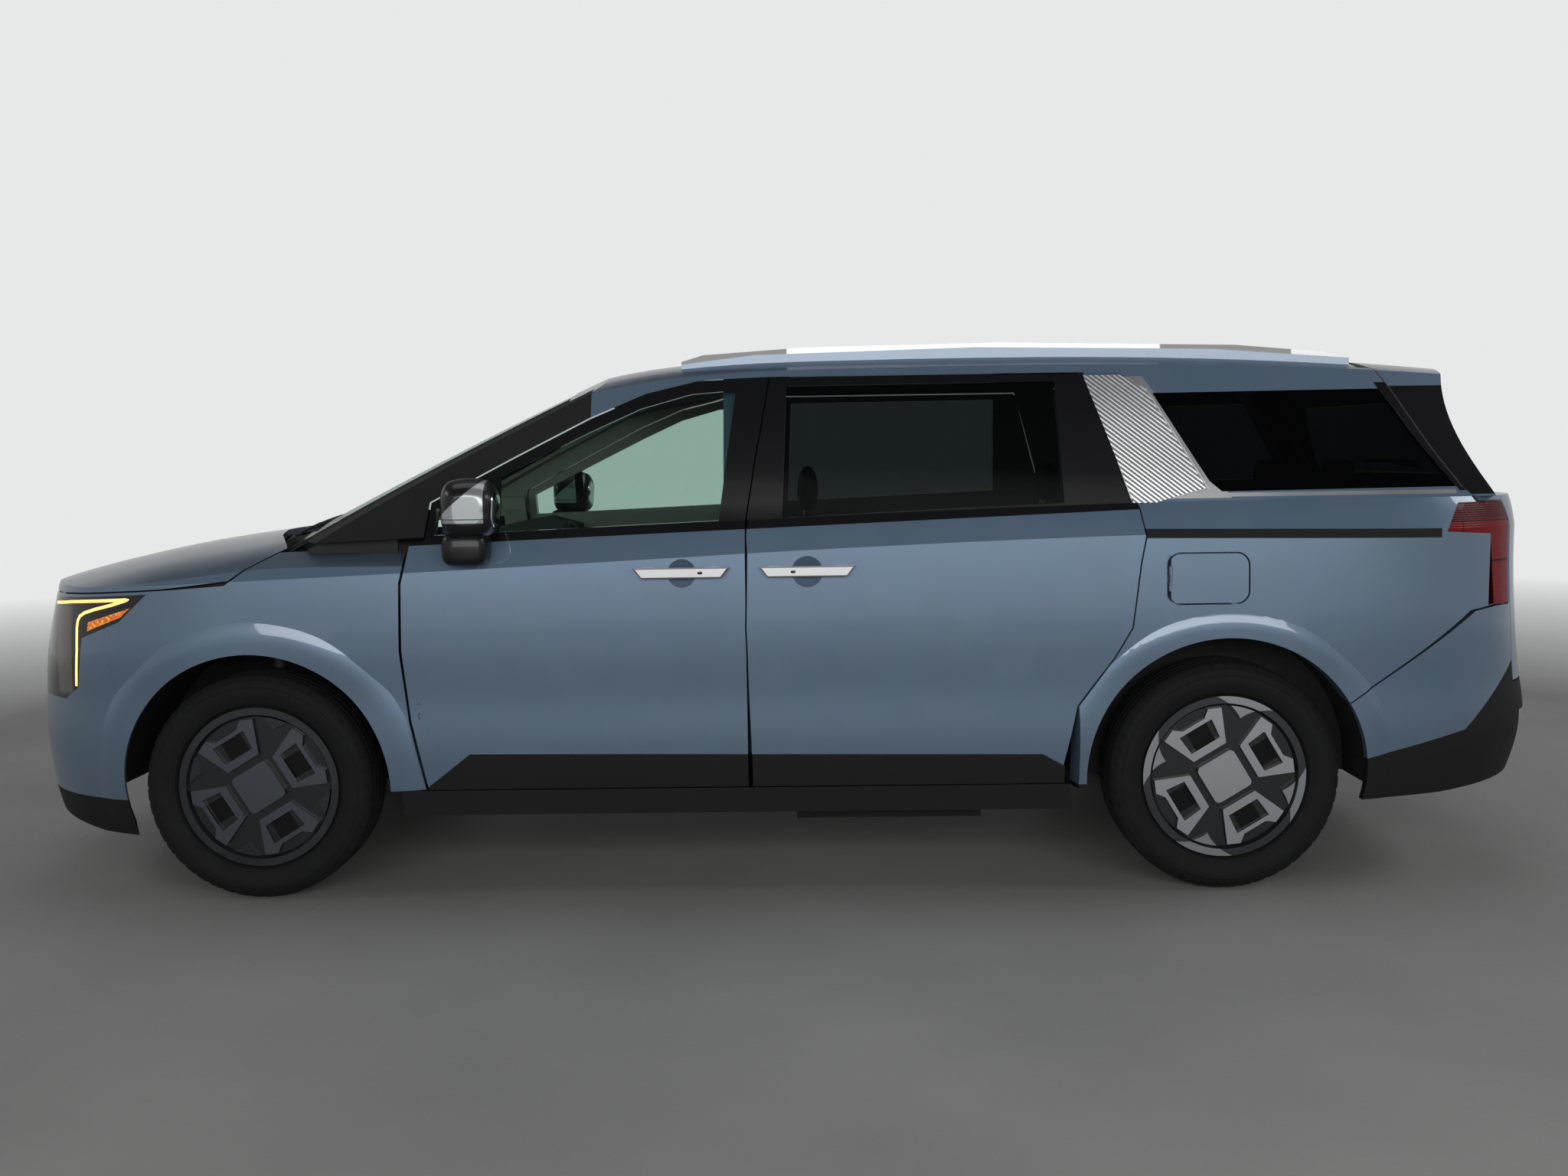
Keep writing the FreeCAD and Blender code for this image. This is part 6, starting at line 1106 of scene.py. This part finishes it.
def blow_up(piece, cap=PAD_CAP):
    remesh = piece.modifiers.new("squares", "REMESH")
    remesh.mode, remesh.voxel_size = "VOXEL", PAD_VOXEL
    settle(piece)
    still = numpy.array([v.co for v in piece.data.vertices])
    cloth = piece.modifiers.new("leather", "CLOTH")
    cloth.settings.use_pressure = True
    cloth.settings.uniform_pressure_force = PRESSURE
    cloth.settings.effector_weights.gravity = 0.0
    cloth.settings.quality = 5
    cloth.point_cache.frame_start, cloth.point_cache.frame_end = 1, FRAMES
    for moment in range(1, FRAMES + 1):
        bpy.context.scene.frame_set(moment)
    settle(piece)
    moved = numpy.array([v.co for v in piece.data.vertices]) - still
    length = numpy.linalg.norm(moved, axis=1, keepdims=True)
    moved *= numpy.minimum(1.0, cap / numpy.maximum(length, 1e-9))
    piece.data.vertices.foreach_set("co", (still + moved).ravel())
    bpy.context.scene.frame_set(1)
    smoother = piece.modifiers.new("finer", "SUBSURF")
    smoother.levels = smoother.render_levels = 1
    settle(piece)


def press_channels(piece, channels, depth=0.006, width=0.0085):
    """Presses sewn lines in. A channel is (axis, place, axis it ends on, low, high, facing)."""
    mesh = piece.data
    points = numpy.array([v.co for v in mesh.vertices])
    slopes = numpy.array([v.normal for v in mesh.vertices])
    for axis, place, along, low, high, facing in channels:
        near = numpy.exp(-((points[:, axis] - place) / width) ** 2)
        inside = (points[:, along] > low) & (points[:, along] < high)
        towards = numpy.clip(slopes @ numpy.array(facing) * 2.0 - 0.5, 0.0, 1.0)
        points -= slopes * (depth * near * inside * towards)[:, None]
    mesh.vertices.foreach_set("co", points.ravel())
    mesh.polygons.foreach_set("use_smooth", [True] * len(mesh.polygons))
    mesh.update()


# %% [markdown]
# The leather is fine grained and a little shiny where it is stretched. Its centre panels
# are perforated, and a pale thread runs along the channels in short stitches.

# %% Seat leather
CREASE_HEIGHT, THREAD_HALF, STITCH_RATE, HOLE_RATE = 0.0012, 0.0011, 900.0, 520.0


def upholster(pads, name, stitch_lines):
    finish = Finish(name)
    threads = sum(abs(abs(finish.y) - line).short(THREAD_HALF, 0.0003) for line in stitch_lines)
    dashes = ((finish.x + finish.z) * STITCH_RATE).wave().past(-0.3, 0.1)
    holes = ((finish.x + finish.z * 0.5) * HOLE_RATE).wave() * (finish.y * HOLE_RATE).wave()
    hide = look(finish.blend(finish.noise(3.0), (0.050, 0.049, 0.048), (0.066, 0.064, 0.062)), 0.46)
    skin = cover(hide, threads * dashes, look((0.36, 0.35, 0.33), 0.7))
    panel = abs(finish.y).short(min(stitch_lines) - 0.01, 0.002)
    relief = (finish.cells(240.0, "DISTANCE_TO_EDGE") - holes.past(0.55, 0.1) * panel) * CREASE_HEIGHT
    leather = finished(finish, skin, mottle=0.12, relief=relief)
    for pad in pads:
        pad.data.materials.clear()
        pad.data.materials.append(leather)


# %% [markdown]
# Outlines of cushion and back are shares of a seat's length and height, seen from the
# side. A single seat and the bench differ only in width and in where they are sewn.

# %% Cushions, backs and headrests
CUSHION_SHARES = [(0.0, 0.25), (0.04, 0.92), (0.16, 1.0), (0.80, 0.86), (1.0, 0.72), (1.0, 0.0), (0.06, 0.0)]
BACK_SHARES = [(0.0, 0.0), (0.26, 0.36), (0.40, 0.74), (0.52, 1.0), (0.76, 1.0), (0.80, 0.90), (0.66, 0.50),
               (0.48, 0.0)]
CUSHION_LENGTH, CUSHION_LOW, CUSHION_THICK = 0.480, 0.562, 0.150
BACK_START, BACK_LOW, BACK_LEAN, BACK_TALL = 0.4803, 0.607, 0.260, 0.590
BACK_TOP = BACK_LOW + BACK_TALL
SEAT_WIDTH, BENCH_WIDTH = 0.520, 1.180
SEAT_SIDE, BENCH_SIDE = 0.105, 0.09
CUSHION_SEWN, CUSHION_CROSS = (0.03, 0.46), [0.10 + 0.085 * n for n in range(5)]
BACK_SEWN, BACK_CROSS = (0.64, 1.14), [0.70 + 0.088 * n for n in range(6)]
CUSHION_FACING, BACK_FACING = (0, 0, 1), (-1, 0, 0.2)
REST_OUTLINE = [(0.012, 0.0), (0.0, 0.09), (0.016, 0.168), (0.074, 0.168), (0.088, 0.10), (0.076, 0.0)]
REST_HALF, REST_INSET, REST_CAP, REST_GAP = 0.125, 0.010, 0.012, 0.006
REST_LINE, REST_SEWN, REST_DEPTH = 0.085, (0.02, 0.15), 0.004


def seat_pads(kind, width, lines):
    """Cushion and back of one seat about its front lower corner, sewn along lines beside its middle."""
    cushion = [(x * CUSHION_LENGTH, CUSHION_LOW + z * CUSHION_THICK) for x, z in CUSHION_SHARES]
    back = [(BACK_START + x * BACK_LEAN, BACK_LOW + z * BACK_TALL) for x, z in BACK_SHARES]
    cushion, back = block(kind + "_cushion", cushion, width / 2), block(kind + "_back", back, width / 2)
    for pad in (cushion, back):
        blow_up(pad)
    both = [side * line for line in lines for side in (-1, 1)]
    press_channels(cushion, [(1, line, 0, *CUSHION_SEWN, CUSHION_FACING) for line in both]
                   + [(0, place, 1, -lines[0], lines[0], CUSHION_FACING) for place in CUSHION_CROSS])
    press_channels(back, [(1, line, 2, *BACK_SEWN, BACK_FACING) for line in both]
                   + [(2, place, 1, -lines[0], lines[0], BACK_FACING) for place in BACK_CROSS])
    return cushion, back


def headrest():
    low, front = BACK_TOP + REST_GAP, BACK_START + BACK_LEAN * 0.50
    pad = block("single_headrest", [(front + x, low + z) for x, z in REST_OUTLINE], REST_HALF, REST_INSET)
    blow_up(pad, REST_CAP)
    ends = [low + rise for rise in REST_SEWN]
    press_channels(pad, [(1, side * REST_LINE, 2, *ends, (-1, 0, 0)) for side in (-1, 1)], REST_DEPTH)
    return pad


single_lines = [SEAT_WIDTH / 2 - SEAT_SIDE]
bench_lines = [BENCH_WIDTH / 2 - BENCH_SIDE, BENCH_WIDTH / 2 / 3]
single_pads = seat_pads("single", SEAT_WIDTH, single_lines)
bench_pads = seat_pads("bench", BENCH_WIDTH, bench_lines)
rest = headrest()
upholster(single_pads, "single_seat_leather", single_lines)
upholster(bench_pads, "bench_leather", bench_lines)
upholster([rest], "headrest_leather", [REST_LINE])
print("A cushion has", len(single_pads[0].data.polygons), "faces")

# %% [markdown]
# The front and middle rows are single seats, and the rear one is a bench for three, with
# three headrests. Every seat of a kind shares one mesh, so it is blown up only once.

# %% Rows of seats
SEAT_ROWS = (("front", -0.520, (-0.4, 0.4)), ("middle", 0.440, (-0.4, 0.4)), ("rear", 1.330, (0.0,)))
REST_SHIFTS = (-0.3933, 0.0, 0.3933)
ROD_SIDE, ROD_RADIUS, ROD_STEP = 0.062, 0.006, 0.012
ROD_SPINE = ((0.62, -0.03), (0.63, 0.004), (0.66, 0.03))


def seat_name(row, spot):
    return row + ("_left" if spot < 0 else "_right" if spot > 0 else "")


def place_pad(source, name, x, y):
    made = new_object(name, source.data)
    made.location = (x, y, 0.0)
    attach(made, "root")
    return made


def rod(y):
    """One of the two bent steel rods that carry a headrest."""
    spine = [(BACK_START + BACK_LEAN * share, y, BACK_TOP + rise) for share, rise in ROD_SPINE]
    laid = divide(spine, ROD_STEP)
    return ribbon(laid, [BACKWARD] * len(laid), circle(ROD_RADIUS, 8))


rods = join(rod(-ROD_SIDE), rod(ROD_SIDE))
rod_material = plain("polished_rod", look((0.55, 0.55, 0.56), 0.18, 1.0))
for row, x, spots in SEAT_ROWS:
    bench = len(spots) == 1
    cushion, back = bench_pads if bench else single_pads
    pads = []
    for spot in spots:
        label = seat_name(row, spot)
        pads += [place_pad(cushion, label + "_cushion", x, spot), place_pad(back, label + "_back", x, spot)]
        for number, shift in enumerate(REST_SHIFTS if bench else (0.0,)):
            mark = "_%d" % (number + 1) if bench else ""
            pads.append(place_pad(rest, label + "_headrest" + mark, x, spot + shift))
            posts = add_piece(label + "_rods" + mark, *rods, rod_material, "root", "steel",
                              place=(x, spot + shift, 0.0))
            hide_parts(row + "_seats")
    for pad in pads:
        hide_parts(row + "_seats")
    print("The", row, "row has", len(pads), "pads")
for spare in (*single_pads, *bench_pads, rest):
    bpy.data.objects.remove(spare)

# %% [markdown]
# Under each seat a plinth hides its rails. It is moulded plastic with slanting sides and
# a shadow gap at the floor.

# %% Seat plinths
PLINTH_RINGS = ((0.3735, 0.370, 0.76), (0.380, 0.384, 0.80), (0.470, 0.366, 0.77), (0.556, 0.384, 0.80))
PLINTH_MIDDLE, PLINTH_ROUND = 0.24, 0.03
for row, x, spots in SEAT_ROWS:
    width = BENCH_WIDTH if len(spots) == 1 else SEAT_WIDTH
    rings = [(height, round_corners(length, width * share, PLINTH_ROUND))
             for height, length, share in PLINTH_RINGS]
    points = [(a + PLINTH_MIDDLE, b, height) for height, ring in rings for a, b in ring]
    faces = tube_faces(len(rings), len(points) // len(rings))
    for spot in spots:
        base = add_piece(seat_name(row, spot) + "_plinth", points, faces, soft_black, "root", "dash_plastic",
                         place=(x, spot, 0.0), bevel=0.003)
        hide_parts(row + "_seats")
print("Seats are in")
